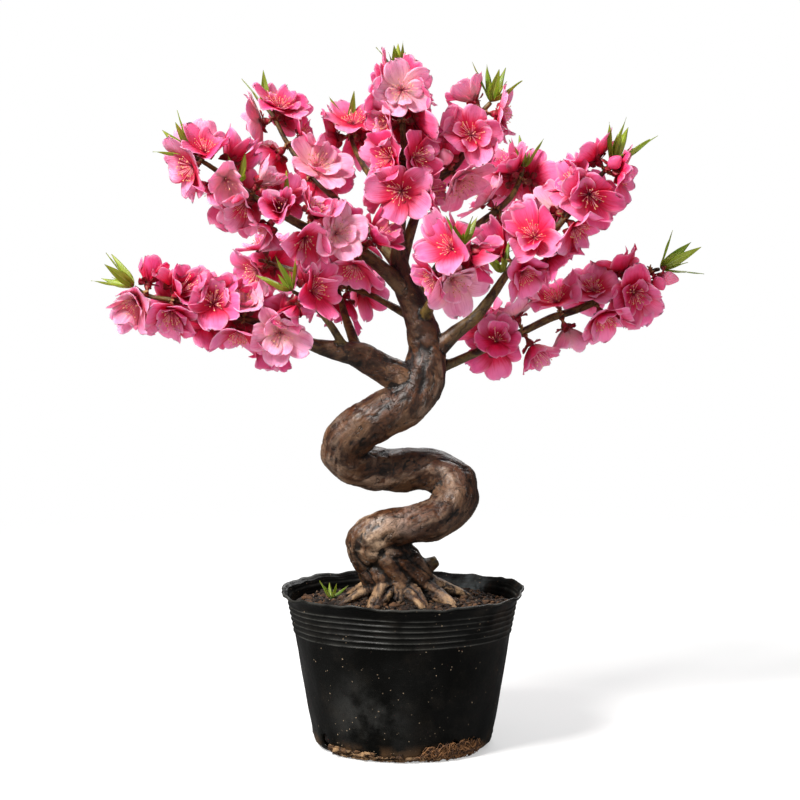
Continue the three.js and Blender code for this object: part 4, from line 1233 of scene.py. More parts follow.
def place_piece(mesh: Mesh, name: str, materials: Iterable[Material], node: str = "") -> None:
    """Puts a mesh into the scene as a piece that rides with the part, and reports it.

    Args:
        mesh: the finished mesh.
        name: the piece's name.
        materials: its finishes, in the order of their indices.
        node: the solid that it replaces, if any.
    """
    mesh.name = name
    if mesh.materials:
        mesh.materials.clear()
    for material in materials:
        mesh.materials.append(material)
    piece = link(name, mesh)
    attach(piece, ROOT)
    if node:
        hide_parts(node)
    LOG.info("%s: %d faces", name, len(mesh.polygons))


# ---- blooms: their petals ----


class Skin(Enum):
    """The finishes of a bunch, in the order of their indices."""

    PETAL = 0
    FILAMENT = 1
    ANTHER = 2
    CALYX = 3
    SCALE = 4


@dataclass(frozen=True)
class PetalForm:
    """One petal: sizes as shares of the bloom's radius, and its own small chances."""

    reach: float
    rise: float
    width: float
    turn: float
    seed: float
    cup: float = 0.3
    lap: float = 0.075
    ruffle: float = 0.058
    start: float = 0.06
    claw: float = 0.34
    waist: float = 0.56

    def shape(self, u: Array, v: Array) -> Array:
        """Bends a flat grid into this petal, growing from the hub.

        Args:
            u: shares across, from -1 to 1.
            v: shares along, from 0 to 1.

        Returns:
            The places, in metres.
        """
        seed, edge = self.seed, np.abs(u)
        # The blade widens from a narrow claw, and its upper half rounds off along an arc.
        foot = np.minimum(1, v / 0.5)
        arc = np.clip((v - 0.5) / 0.5, 0, 1) * 1.45
        along = self.waist * foot + (1 - self.waist) * np.sin(arc)
        blade = (self.claw + (1 - self.claw) * np.sin(np.pi / 2 * foot) ** 1.1) * np.cos(arc) ** 0.7
        wide = self.width * blade * (1 + spread(seed + 1, 0.08))
        # A notch at the tip and small nicks beside it.
        notch = 0.05 * np.exp(-((wide * u / self.width - spread(seed + 2, 0.1)) / 0.13) ** 2) * v**6
        nick = (0.025 * np.sin(u * (5 + spread(seed + 7, 2)) + seed) + 0.022 * np.sin(u * 13 + seed)) * v**4
        out = self.start + (self.reach - self.start) * (along - notch - nick)
        side = wide * u
        # The cup, then the ruffled edge, the lap over the next petal, the creases and the curl of the tip.
        lift = self.rise * (1.3 * along**1.3 - 0.3 * along**5) + self.cup * wide * edge**2 * (0.35 + 0.65 * along)
        wave = np.sin(along * (5.5 + spread(seed + 3, 1.5)) + np.sign(u) * 1.9 + seed) * edge**1.5 * along**1.2
        frill = np.sin(u * blade * (4.2 + spread(seed + 4, 1.4)) + seed * 1.7) * along**3
        crease = 0.024 * np.cos(u * 10 + spread(seed + 5, 1)) * along * (1.3 - along)
        curl = spread(seed + 8, 0.12) * along**4
        lift = lift + self.ruffle * (wave * blade + frill) + self.lap * u * blade * along + crease - curl
        swing = self.turn + spread(seed + 6, 0.09)
        x = out * math.cos(swing) - side * math.sin(swing)
        y = out * math.sin(swing) + side * math.cos(swing)
        return np.stack([x, y, lift + 0.05], axis=1) * SIZE.radius


@dataclass(frozen=True)
class OpenWay:
    """What sets an open bloom apart from a half open one."""

    width: float
    cup: float
    stamens: int
    cone: float
    stretch: float


WAYS = {OPEN: OpenWay(0.49, 0.24, 32, 1.05, 1), CUP: OpenWay(0.42, 0.5, 12, 0.4, 1.6)}


class BloomPattern:
    """A bloom that grows once round its hub and then stands in many places."""

    PETALS = 5
    OUTER_GRID = (9, 9)
    INNER_GRID = (6, 7)
    SEPAL_GRID = (3, 4)
    INNER_COUNTS = (2, 5, 0, 3, 1, 4, 0, 5)

    def __init__(self, stage: Stage, seed: int, index: int) -> None:
        """Grows the pattern.

        Args:
            stage: how far it has opened.
            seed: where its draws start.
            index: its place among the patterns, which sets how double it is.
        """
        self.bm, self.seed = new_shape(), seed
        if stage is BUD:
            self._grow_bud()
        else:
            self._grow_petals(stage, self.INNER_COUNTS[index % len(self.INNER_COUNTS)])
            self._grow_stamens(WAYS[stage])
        self._grow_calyx()
        self.mesh = to_mesh(self.bm, f"pattern_{stage.value}_{seed}")
        self.places = read_vertices(self.mesh)
        self.tints = np.empty((len(self.places), 3), dtype=np.float32)
        self.mesh.attributes["tint"].data.foreach_get("vector", self.tints.ravel())

    def _grow_petals(self, stage: Stage, inner: int) -> None:
        """Adds the outer petals, and the inner petals that make it double.

        Args:
            stage: how far it has opened.
            inner: how many inner petals it has.
        """
        seed, rim, way = self.seed, RIMS[stage], WAYS[stage]
        for i in range(self.PETALS):
            form = PetalForm(
                reach=rim.outer[0] * (1.11 + spread(seed + i, 0.05)),
                rise=rim.outer[1] * (0.82 + spread(seed + i + 20, 0.25)),
                width=way.width, turn=TURN * (i + 0.5) / self.PETALS, seed=seed + i * 7.3, cup=way.cup)
            shaped_grid(self.bm, *self.OUTER_GRID, form.shape, (0.0, draw(seed + i + 40), 0.0), 0.22 * MM)
        for i in range(inner):
            size = 0.8 + 0.3 * draw(seed + i + 60)
            form = PetalForm(
                reach=rim.inner[0] * size * 1.08, rise=rim.inner[1] * size * (0.8 + spread(seed + i + 70, 0.3)),
                width=0.36 * size, turn=TURN * (i + 0.05 + spread(seed + i + 90, 0.25)) / self.PETALS,
                seed=seed + 100 + i * 5.1, cup=0.35, ruffle=0.05, start=0.14)
            shaped_grid(self.bm, *self.INNER_GRID, form.shape, (0.0, draw(seed + i + 110), 0.0), 0.2 * MM)

    def _grow_stamens(self, way: OpenWay) -> None:
        """Adds a brush of stamens with their anthers."""
        grain = Matrix.Diagonal((0.52 * MM, 0.46 * MM, 0.66 * MM, 1.0))
        for i in range(way.stamens):
            number = self.seed + 300 + i * 3
            tilt, flat = way.cone * math.sqrt((i + 0.5) / way.stamens), i * GOLDEN_ANGLE + spread(number, 0.4)
            length = SIZE.radius * (0.27 + 0.27 * draw(number + 1)) * way.stretch
            aim = Vector((math.sin(tilt) * math.cos(flat), math.sin(tilt) * math.sin(flat), math.cos(tilt)))
            root, turn = Vector((aim.x, aim.y, 0.5)) * 1.7 * MM, basis_to(aim)
            self._part(add_cone(self.bm, 3, 0.24 * MM, 0.16 * MM, length, stand_at(root + aim * length / 2, turn)),
                       Skin.FILAMENT)
            self._part(add_ball(self.bm, stand_at(root + aim * (length + 0.3 * MM), turn) @ grain), Skin.ANTHER)

    def _grow_calyx(self) -> None:
        """Adds the bell of the calyx and its five sepals under the petals."""
        for low, high, foot, top in ((1.25, 2.7, -5.2, -2.6), (2.7, 3.3, -2.6, 0.3)):
            middle = Matrix.Translation((0, 0, (top + foot) / 2 * MM))
            self._part(add_cone(self.bm, 10, low * MM, high * MM, (top - foot) * MM, middle), Skin.CALYX)
        for i in range(self.PETALS):
            form = PetalForm(reach=0.4, rise=0.05, width=0.12, turn=TURN * i / self.PETALS,
                             seed=self.seed + 400 + i, cup=-0.2, ruffle=0.01, start=0.1)
            made = shaped_grid(self.bm, *self.SEPAL_GRID, form.shape, (0, 0, 0), 0.3 * MM, Skin.CALYX.value)
            bmesh.ops.translate(self.bm, verts=made, vec=(0, 0, -0.9 * MM))

    def _grow_bud(self) -> None:
        """Adds a closed bud whose petals wind round each other."""
        bud = bmesh.ops.create_uvsphere(self.bm, u_segments=15, v_segments=9, radius=1.0)["verts"]
        places = positions(bud)
        flat, height = np.arctan2(places[:, 1], places[:, 0]), places[:, 2]
        swell = 1 + 0.07 * np.sin(3 * flat + 2.2 * height + self.seed)
        tip = 1 + 0.25 * np.clip(height, 0, 1) ** 3
        places[:, :2] *= (5.3 * MM * swell * (1 - 0.22 * np.clip(height, 0, 1)))[:, None]
        places[:, 2] = (height * 6.2 * tip + 5.2) * MM
        set_positions(bud, places)
        self._part(bud, Skin.PETAL)

    def _part(self, verts: Iterable[Vert], skin: Skin) -> None:
        """Gives some vertices a tint and a place on the petal's map, and their faces a finish.

        Args:
            verts: the vertices of one closed shape.
            skin: its finish.
        """
        uv_layer, tint_layer = self.bm.loops.layers.uv["petal"], self.bm.verts.layers.float_vector["tint"]
        for vert in verts:
            vert[tint_layer] = (0.0, draw(self.seed + 7), 0.0)
            for loop in vert.link_loops:
                loop[uv_layer].uv = (0.5, 0.6)
        dress(verts, skin.value)


@dataclass
class Blossoms:
    """All the bunches of blooms on the tree."""

    tree: Tree
    finishes: Finishes
    open_patterns: int = 8
    cup_patterns: int = 4
    bud_patterns: int = 2
    collar_scales: int = 9
    crowded: tuple[str, ...] = ("front", "low_left_fore", "low_left")
    patterns: dict[Stage, list[BloomPattern]] = field(default_factory=dict)
    leaf_spines: list[list[Vector]] = field(default_factory=list)

    def build(self) -> None:
        """Grows the patterns and builds a piece for each bunch."""
        for stage, count in ((OPEN, self.open_patterns), (CUP, self.cup_patterns), (BUD, self.bud_patterns)):
            self.patterns[stage] = [BloomPattern(stage, 11 + i * 57, i) for i in range(count)]
        self.leaf_spines = [
            tuft_spine(self.tree, tuft) for tuft in TUFTS if tuft[1] < 1 or tuft[0] in self.crowded]
        bunches = plan_bunches(self.tree)
        blooms = [bloom for bunch in bunches for bloom in bunch.blooms]
        for bunch in bunches:
            self._build_bunch(bunch, blooms)
        for pattern in sum(self.patterns.values(), []):
            bpy.data.meshes.remove(pattern.mesh)

    def _build_bunch(self, bunch: Bunch, blooms: list[Bloom]) -> None:
        """Builds one bunch: its stalks, its blooms and its collar of bud scales.

        Args:
            bunch: the bunch.
            blooms: all the blooms of the tree.
        """
        bm, finishes = new_shape(), self.finishes
        for bloom in bunch.blooms:
            self._add_bloom(bm, bloom, blooms)
        self._add_collar(bm, bunch)
        skins = (finishes.petal, finishes.filament, finishes.anther, finishes.calyx, finishes.scale)
        name = f"fine_{bunch.name}"
        place_piece(to_mesh(bm, name), name, skins, bunch.name)

    def _add_bloom(self, bm: BMesh, bloom: Bloom, blooms: list[Bloom]) -> None:
        """Stands a pattern in its place and bends it clear of its neighbours.

        Args:
            bm: the bunch's mesh.
            bloom: the bloom.
            blooms: all the blooms of the tree.
        """
        patterns = self.patterns[bloom.stage]
        pattern = patterns[int(draw(bloom.seed + 9) * len(patterns)) % len(patterns)]
        offsets = pattern.places * bloom.size
        if bloom.stage is not BUD:
            offsets = Room(bloom, blooms, self.tree, self.leaf_spines).bend(offsets)
        grown = pattern.mesh.copy()
        move_vertices(grown, offsets @ np.array(bloom.turn.to_matrix()).T + np.array(bloom.hub))
        tints = pattern.tints.copy()
        tints[:, 0] = draw(bloom.seed + 11)
        grown.attributes["tint"].data.foreach_set("vector", tints.ravel())
        bm.from_mesh(grown)
        bpy.data.meshes.remove(grown)
        middle = bloom.seat + bloom.axis * (bloom.stalk * 0.5 - 1.2 * MM)
        stalk = add_cone(bm, 7, 1.35 * MM, 1.1 * MM, bloom.stalk, stand_at(middle, bloom.turn))
        dress(stalk, Skin.CALYX.value)

    def _add_collar(self, bm: BMesh, bunch: Bunch) -> None:
        """Adds the ring of small brown bud scales round the twig.

        Args:
            bm: the bunch's mesh.
            bunch: the bunch.
        """
        seat, seed = bunch.seat, bunch.blooms[0].seed
        across, flattened = basis_to(seat.along), Matrix.Diagonal((1.0, 0.75, 1.0, 1.0))
        for i in range(self.collar_scales):
            flat = TURN * i / self.collar_scales + spread(i + seed, 0.2)
            side = across @ Vector((math.cos(flat), math.sin(flat), 0))
            lean = (side + seat.along * spread(i + 3 + seed, 0.9)).normalized()
            stand = stand_at(seat.centre + side * (bunch.hole + 0.7 * MM), basis_to(lean, flat)) @ flattened
            depth = (3.2 + 2.2 * draw(i + 5 + seed)) * MM
            dress(add_cone(bm, 6, 1.5 * MM, 0.35 * MM, depth, stand), Skin.SCALE.value)


# ---- leaves ----


@dataclass(frozen=True)
class LeafForm:
    """One lance-shaped leaf that folds along its midrib and bows outwards."""

    length: float
    width: float
    bow: float
    fold: float
    seed: float

    def shape(self, u: Array, v: Array) -> Array:
        """Bends a flat grid into this leaf, along +Z.

        Args:
            u: shares across, from -1 to 1.
            v: shares along, from 0 to 1.

        Returns:
            The places, in metres.
        """
        lance = np.sin(np.pi * np.clip(v, 0, 1) ** 0.68) ** 0.95 * (1 - 0.12 * v) + 0.03
        teeth = 1 + 0.05 * np.abs(np.mod(v * 15 + self.seed, 1) - 0.5) * (np.abs(u) > 0.9)
        half = self.width / 2 * lance * teeth
        wave = 0.05 * self.width * np.sin(v * 9 + self.seed + np.sign(u)) * np.abs(u)
        x = self.bow * v**2 + self.fold * np.abs(u) ** 1.2 * lance + wave
        return np.stack([x, half * u, v * self.length], axis=1)


@dataclass
class Leaves:
    """The tufts of young leaves and the weed seedling."""

    tree: Tree
    finishes: Finishes
    length: float = 30 * MM
    width: float = 6.9 * MM
    fold: float = 1.6 * MM
    thickness: float = 0.32 * MM
    grid: tuple[int, int] = (6, 18)
    scale_grid: tuple[int, int] = (6, 4)
    young: int = 3
    scales: int = 4
    weed_leaves: int = 5
    weed_place: Triple = (-53 * MM, 4 * MM, 106.2 * MM)

    def build(self) -> None:
        """Builds a piece for each tuft, and the seedling."""
        for index, tuft in enumerate(TUFTS):
            self._build_tuft(index, tuft)
        self._build_seedling()

    def _build_tuft(self, index: int, tuft: Tuft) -> None:
        """Builds the leaves and the bud scales of one tuft.

        Args:
            index: its place in the table, which sets its draws.
            tuft: its row in the table.
        """
        _, _, _, count, size, name = tuft
        foot, way = tuft_seat(self.tree, tuft)
        stand, narrow = stand_at(foot, basis_to(way, index)), self.width * math.sqrt(size)
        bm = new_shape()
        for i in range(count):
            seed = index * 17 + i
            form = LeafForm(self.length * size * (0.82 + 0.3 * draw(seed + 300)), narrow,
                            (2 + 2 * draw(seed + 320)) * MM, self.fold, seed)
            lean, out = (0.08, 0) if i == 0 else (0.42 + 0.25 * draw(seed + 310), 0.7 * MM)
            turn = TURN * i / count + spread(seed + 330, 0.3)
            self._add_leaf(bm, form, stand, lean, out, turn, draw(seed + 340))
        for i in range(self.young):
            seed = index * 13 + i
            form = LeafForm(self.length * size * (0.42 + 0.2 * draw(seed + 350)), narrow * 0.62, 1.6 * MM,
                            self.fold * 0.8, seed + 5)
            lean, turn = 0.16 + 0.3 * draw(seed + 360), TURN * (i + 0.5) / self.young
            self._add_leaf(bm, form, stand, lean, 0.5 * MM, turn, 0.6 + 0.4 * draw(seed + 370))
        for i in range(self.scales):
            form = LeafForm(5 * MM, 2.6 * MM, 0.4 * MM, 0.4 * MM, i)
            self._add_leaf(bm, form, stand, 0.25, 0.9 * MM, TURN * i / self.scales + index, 0.1, material=1)
        self._place(bm, f"leaves_{name}")

    def _place(self, bm: BMesh, node: str) -> None:
        """Places a tuft or the seedling over its solid."""
        name = f"fine_{node}"
        place_piece(to_mesh(bm, name), name, (self.finishes.leaf, self.finishes.scale), node)

    def _add_leaf(self, bm: BMesh, form: LeafForm, stand: Matrix, lean: float, out: float, turn: float,
                  tone: float, material: int = 0) -> None:
        """Adds one leaf to a tuft.

        Args:
            bm: the tuft's mesh.
            form: the leaf's shape.
            stand: where the tuft stands.
            lean: how far the leaf leans out.
            out: how far from the tuft's axis it starts.
            turn: its turn round the axis.
            tone: its tint.
            material: the index of its finish.
        """
        grid = self.scale_grid if material else self.grid
        made = shaped_grid(bm, *grid, form.shape, (tone, 0, 0), self.thickness, material)
        local = Matrix.Rotation(turn, 4, "Z") @ Matrix.Translation((out, 0, 0)) @ Matrix.Rotation(lean, 4, "Y")
        bmesh.ops.transform(bm, matrix=stand @ local, verts=made)

    def _build_seedling(self) -> None:
        """Builds the small weed in the soil."""
        bm = new_shape()
        stand = Matrix.Translation(self.weed_place)
        lifted = stand @ Matrix.Translation((0, 0, 1.2 * MM))
        for i in range(self.weed_leaves):
            form = LeafForm(15 * MM * (0.8 + 0.4 * draw(i + 500)), 3.4 * MM, 1.5 * MM, self.fold, i + 3)
            turn = TURN * i / self.weed_leaves + 0.5
            self._add_leaf(bm, form, lifted, 0.3 + 0.75 * draw(i + 510), 0, turn, draw(i + 520))
        sunk = stand @ Matrix.Translation((0, 0, -1.5 * MM))
        dress(add_cone(bm, 6, 0.9 * MM, 0.7 * MM, 8 * MM, sunk), 0)
        self._place(bm, "weed_seedling")


# ---- wood ----


@dataclass
class Wood:
    """The root flare, the spiral trunk, the leader and the limbs, in one skin of bark."""

    tree: Tree
    finishes: Finishes
    sides: int = 28
    twig_sides: int = 12
    twig: float = 6 * MM
    voxel: float = 1.2 * MM
    stride: float = 2.2 * MM
    flow_stride: float = 3 * MM
    hollow: float = 0.5 * MM
    hollow_rounds: int = 14
    twist: float = 16

    def build(self) -> None:
        """Grows the limbs as tubes, joins them under one skin and furrows it."""
        bm = new_shape()
        for limb in self.tree.wood:
            self._add_tube(bm, limb)
        rough = link("wood_tubes", to_mesh(bm, "wood_tubes"))
        remesh = rough.modifiers.new("skin", "REMESH")
        remesh.mode, remesh.voxel_size = "VOXEL", self.voxel
        ease = rough.modifiers.new("ease", "SMOOTH")
        ease.factor, ease.iterations = 0.5, 4
        skin = applied(rough)
        self._furrow(skin)
        skin.shade_smooth()
        place_piece(skin, "fine_trunk_and_limbs", [self.finishes.bark], "trunk_and_limbs")

    def _add_tube(self, bm: BMesh, limb: Limb) -> None:
        """Adds one limb as a closed tube.

        Args:
            bm: the mesh of all the tubes.
            limb: the limb.
        """
        rings = max(8, int(limb.length / self.stride))
        shares = np.linspace(0, 1, rings + 1)
        _, across, beside = limb.frames(shares)
        places, radii = limb.places(shares), limb.radii_at(shares)

        def wrap(u: Array, v: Array) -> Array:
            """Wraps a flat grid round the limb.

            Args:
                u: shares round it, from -1 to 1.
                v: shares along it, from 0 to 1.

            Returns:
                The places, in metres.
            """
            index, flat = np.rint(v * rings).astype(int), (u * math.pi)[:, None]
            side = across[index] * np.cos(flat) + beside[index] * np.sin(flat)
            return places[index] + radii[index][:, None] * side

        sides = self.sides if limb.radii.max() > self.twig else self.twig_sides
        shaped_grid(bm, sides, rings, wrap, closed=True)

    @staticmethod
    def _grain(spot: Array, across: float, along: float, shift: tuple[float, float] = (0, 0)) -> float:
        """Noise between -1 and 1 that is drawn out along the wood. A shift makes it unlike the others."""
        x, y, run = spot
        return noise.noise(Vector((x * across + shift[0], y * across + shift[1], run * along)))

    def _cleft(self, width: float, spot: Array, across: float, along: float, shift: tuple[float, float]) -> float:
        """A narrow cleft where the grain is near 0: 1 in its middle and 0 past its width."""
        return max(0.0, width - abs(self._grain(spot, across, along, shift))) / width

    def _furrow(self, skin: Mesh) -> None:
        """Raises ridges, lumps and creases that run along the limbs, and stores what the bark's finish reads.

        Args:
            skin: the smooth skin of the wood.
        """
        places, normals = read_vertices(skin), read_vertices(skin, "normal")
        flow, radius, age, rooty = self._flow(places)
        flare = smooth(172 * MM, 134 * MM, places[:, 2])
        lift, relief = np.empty(len(places)), np.empty(len(places))
        for i, (spot, place) in enumerate(zip(flow, places)):
            ridge = noise.fractal(Vector((spot[0] * 130, spot[1] * 130, spot[2] * 38)), 1.0, 2.0, 4)
            flute = self._grain(spot, 85, 12, (5, 0))
            fine = self._grain(spot, 420, 170)
            knob, lump = noise.noise(Vector(place) * 58), noise.noise(Vector(place) * 130)
            cut = -self._cleft(0.06, spot, 75, 60, (7, 0)) - 0.5 * self._cleft(0.045, spot, 60, 120, (0, 3))
            seam = -self._cleft(0.17, spot, 95, 22, (9, 0)) * flare[i]
            lift[i] = (0.5 * ridge + 1.3 * flute + 1.35 * knob + 0.5 * lump + (0.45 + rooty[i]) * cut
                       + 0.2 * fine + 1.5 * seam)
            relief[i] = 0.55 + 0.24 * ridge + 0.42 * flute + 0.15 * lump + 0.24 * cut + 0.2 * fine + 0.4 * seam
        depth = np.clip((radius - 1.4 * MM) / (14 * MM), 0.02, 1) * 1.35 * MM * (1 + 0.9 * rooty)
        raised = places + normals * (lift * depth)[:, None]
        move_vertices(skin, raised)
        # Hollows such as forks and the gaps between roots lower the relief, which the bark's finish paints dark as
        # shade.
        relief -= 0.6 * np.clip(self._hollows(skin, raised, normals) / self.hollow, 0, 1)
        add_vector_layer(skin, "bark", flow)
        add_vector_layer(skin, "painted_light_and_wear", np.stack([np.clip(relief, 0, 1), age, rooty], axis=1))

    def _hollows(self, skin: Mesh, places: Array, normals: Array) -> Array:
        """Finds how far each vertex lies in a hollow, such as a fork or the gap between two roots.

        Args:
            skin: the mesh, for its edges.
            places: its vertices.
            normals: its normals.

        Returns:
            How far the surface round each vertex stands above it.
        """
        ends = np.empty(len(skin.edges) * 2, dtype=np.int32)
        skin.edges.foreach_get("vertices", ends)
        first, second = ends.reshape(-1, 2).T
        count = len(places)
        share = 1 / np.maximum(np.bincount(ends, minlength=count), 1)
        eased = places
        for _ in range(self.hollow_rounds):
            eased = np.stack([
                (np.bincount(first, eased[second, k], count) + np.bincount(second, eased[first, k], count)) * share
                for k in range(3)], axis=1)
        return ((eased - places) * normals).sum(axis=1)

    def _flow(self, places: Array) -> tuple[Array, Array, Array, Array]:
        """Lays bark coordinates along the limbs.

        Args:
            places: the skin's vertices.

        Returns:
            Places in unrolled wood, the limb's radius, its age from 0 to 1, and how much it is root.
        """
        best, flow = np.full(len(places), np.inf), np.zeros_like(places)
        radius, rooty = np.zeros(len(places)), np.zeros(len(places))
        offset = 0.0
        for limb in self.tree.wood:
            shares = np.linspace(0, 1, max(12, int(limb.length / self.flow_stride)))
            along, across, beside = limb.frames(shares)
            centres, radii = limb.places(shares), limb.radii_at(shares)
            gaps = np.linalg.norm(places[:, None, :] - centres[None, :, :], axis=2) - radii[None, :]
            nearest = gaps.argmin(axis=1)
            gap = gaps[np.arange(len(places)), nearest]
            closer = gap < best
            index = nearest[closer]
            away = places[closer] - centres[index]
            ahead, ahead_across, ahead_beside = (
                np.einsum("ij,ij->i", away, ways[index]) for ways in (along, across, beside))
            run = shares[index] * limb.length + ahead
            flat = np.arctan2(ahead_beside, ahead_across) + run * self.twist
            wide = radii[index]
            flow[closer] = np.stack([np.cos(flat) * wide, np.sin(flat) * wide, run + offset], axis=1)
            radius[closer] = wide
            rooty[closer] = 1.0 if limb in self.tree.roots[:-1] else 0.0
            best[closer] = gap[closer]
            offset += limb.length + 0.1
        age = smooth(2 * MM, 9 * MM, radius)
        foot = smooth(128 * MM, 108 * MM, places[:, 2])
        return flow, radius, np.maximum(age, rooty), np.clip(rooty * 0.5 + foot * 0.75, 0, 1)


# ---- pot and soil ----


@dataclass
class Pot:
    """The soft black nursery pot: spun, holed, then crumpled a little. The tables are in millimetres."""

    finishes: Finishes
    height: float = 115 * MM
    shoulder: float = 84.5 * MM
    heel: float = 67 * MM
    base: float = 60 * MM
    wall: float = 1.1 * MM
    lip_drop: float = 8 * MM
    soft_from: float = 80 * MM
    sides: int = 180
    drains: int = 4
    drain: float = 4.2 * MM
    drain_height: float = 10 * MM
    first_drain: float = math.radians(213)
    ribs: Sequence[float] = (9.4, 13.2, 17.2, 21.4, 25.6, 29.8)
    rib: Outline = ((-1.3, 0), (-0.6, 0.15), (-0.25, 0.8), (0.15, 0.8), (0.5, 0.15))
    rib_inside: Outline = ((0.9, 0.2), (0, 0.6), (-0.9, 0.2))
    lip: Outline = (
        (85.0, 107.4), (85.6, 109), (86.6, 111), (88.0, 112.4), (89.6, 113.2), (90, 113.9), (89.8, 114.7),
        (89.2, 115), (88.6, 114.9), (87.6, 113.6), (86.2, 112.6), (85.3, 111.9), (85.4, 111.4), (85.1, 110.6),
        (84.6, 109.5), (84.4, 108.8), (83.9, 107.6))
    inner_ribs: Outline = ((85.4, 111.4), (84.4, 108.8))

    def wall_at(self, height: float) -> float:
        """The wall's outer radius at a height."""
        low, high = 9 * MM, self.height - self.lip_drop
        return self.heel + (self.shoulder - self.heel) * (height - low) / (high - low)

    def _rib(self, drop: float, steps: Outline, wall: float) -> Outline:
        """One moulded rib below the lip, as radius and height, inside the wall by a distance."""
        top = self.height - drop * MM
        return [(self.wall_at(top + shift * MM) - wall + out * MM, top + shift * MM) for shift, out in steps]

    def profile(self) -> Outline:
        """Draws the outline of the wall, from the base's middle round to it again.

        Returns:
            The radius and the height of its points.
        """
        heel = [(self.heel - inset * MM, high * MM) for inset, high in ((4.2, 1.2), (1.4, 3.6), (0.2, 6.4))]
        outline = [(0, 0), (self.base * 0.5, 0), (self.base - 3 * MM, 0), (self.base, 0.2 * MM), *heel]
        outline += [(self.wall_at(h * MM), h * MM) for h in range(9, 83, 5)]
        for drop in reversed(self.ribs):
            outline += self._rib(drop, self.rib, 0)
        outline += [(radius * MM, height * MM) for radius, height in self.lip]
        for drop in self.ribs:
            outline += self._rib(drop, self.rib_inside, self.wall)
        outline += [(self.wall_at(h * MM) - self.wall, h * MM) for h in (80, 60, 40, 20, 9)]
        return outline + [(self.heel - 2.6 * MM, 3.8 * MM), (self.base - self.wall, self.wall), (0, self.wall)]

    def build(self) -> None:
        """Spins the wall, cuts the drain holes and crumples the whole."""
        bm = new_shape()
        spin_profile(bm, self.profile(), self.sides)
        bmesh.ops.recalc_face_normals(bm, faces=bm.faces)
        mesh = self._drilled(to_mesh(bm, "pot_spun"))
        self._rub_and_highlight(mesh)
        self._crumple(mesh)
        mesh.shade_smooth()
        place_piece(mesh, "fine_pot", [self.finishes.pot], "pot")

    def _drilled(self, mesh: Mesh) -> Mesh:
        """Cuts the drain holes low in the wall.

        Args:
            mesh: the spun pot.

        Returns:
            The pot with its holes.
        """
        bm = new_shape()
        lay = Matrix.Translation((self.heel, 0, self.drain_height)) @ Matrix.Rotation(math.pi / 2, 4, "Y")
        for i in range(self.drains):
            turn = Matrix.Rotation(self.first_drain + TURN * i / self.drains, 4, "Z")
            add_cone(bm, 20, self.drain, self.drain, 12 * MM, turn @ lay @ Matrix.Diagonal((1.1, 0.95, 1.0, 1.0)))
        tool, spun = link("drain_tool", to_mesh(bm, "drain_tool")), link("pot_spun", mesh)
        cut = spun.modifiers.new("drains", "BOOLEAN")
        cut.operation, cut.solver, cut.object = "DIFFERENCE", "EXACT", tool
        drilled = applied(spun)
        bpy.data.objects.remove(tool)
        return drilled

    def _rub_and_highlight(self, mesh: Mesh) -> None:
        """Marks the crests of the ribs and the edge of the rim, where the plastic is rubbed pale and a painted
        highlight stands in for their shine, and the crests of the inner ribs, which get painted highlight lines.

        Args:
            mesh: the pot, before it is crumpled.
        """
        places = read_vertices(mesh)
        radius, height = np.hypot(places[:, 0], places[:, 1]), places[:, 2]
        ribbed = (height > self.soft_from) * (height < self.height - self.lip_drop)
        ribs = np.clip((radius - self.wall_at(height)) / (0.8 * MM), 0, 1) * ribbed
        rubbed_and_lit = np.maximum(ribs, smooth(113.4 * MM, 114.4 * MM, height))
        # The crests of the inner ribs: painted highlight lines.
        for far, high in self.inner_ribs:
            rubbed_and_lit[np.hypot(radius - far * MM, height - high * MM) < 0.2 * MM] = 1
        add_vector_layer(mesh, "painted_light_and_wear", np.stack([rubbed_and_lit, rubbed_and_lit, rubbed_and_lit], axis=1))

    def _crumple(self, mesh: Mesh) -> None:
        """Waves the soft rim and dents the wall softly.

        Args:
            mesh: the pot.
        """
        places = read_vertices(mesh)
        x, y, height = places.T
        flat, radius = np.arctan2(y, x), np.hypot(x, y)

        def waves(*terms: Triple) -> Array:
            """Waves round the pot, each with its share, its count and its shift."""
            return sum(share * np.sin(count * flat + shift) for share, count, shift in terms)

        soft = np.clip((height - self.soft_from) / (self.height - self.soft_from), 0, None) ** 2
        rim = smooth(106 * MM, 113 * MM, height)
        lift = 0.9 * MM * soft * waves((1, 3, 1), (0.7, 5, 0))
        lift += 0.45 * MM * rim * waves((1, 13, 2), (0.7, 22, 0.6), (0.5, 37, 0))
        crinkle = 0.5 * MM * rim * waves((1, 11, 0), (0.7, 19, 1.4), (0.5, 31, 3))
        dents = np.array([
            noise.noise(Vector((math.cos(a) * 2.2, math.sin(a) * 2.2, z * 17)))
            + 0.45 * noise.noise(Vector((math.cos(a) * 6, math.sin(a) * 6, z * 46)))
            for a, z in zip(flat, height)])
        wall, foot = smooth(30 * MM, 60 * MM, radius), smooth(26 * MM, 4 * MM, height)
        push = dents * wall * (1.1 + 1.1 * foot) * MM + crinkle
        stretch = 1 + push / np.maximum(radius, 1 * MM)
        move_vertices(mesh, np.stack([x * stretch, y * stretch, height + lift], axis=1))


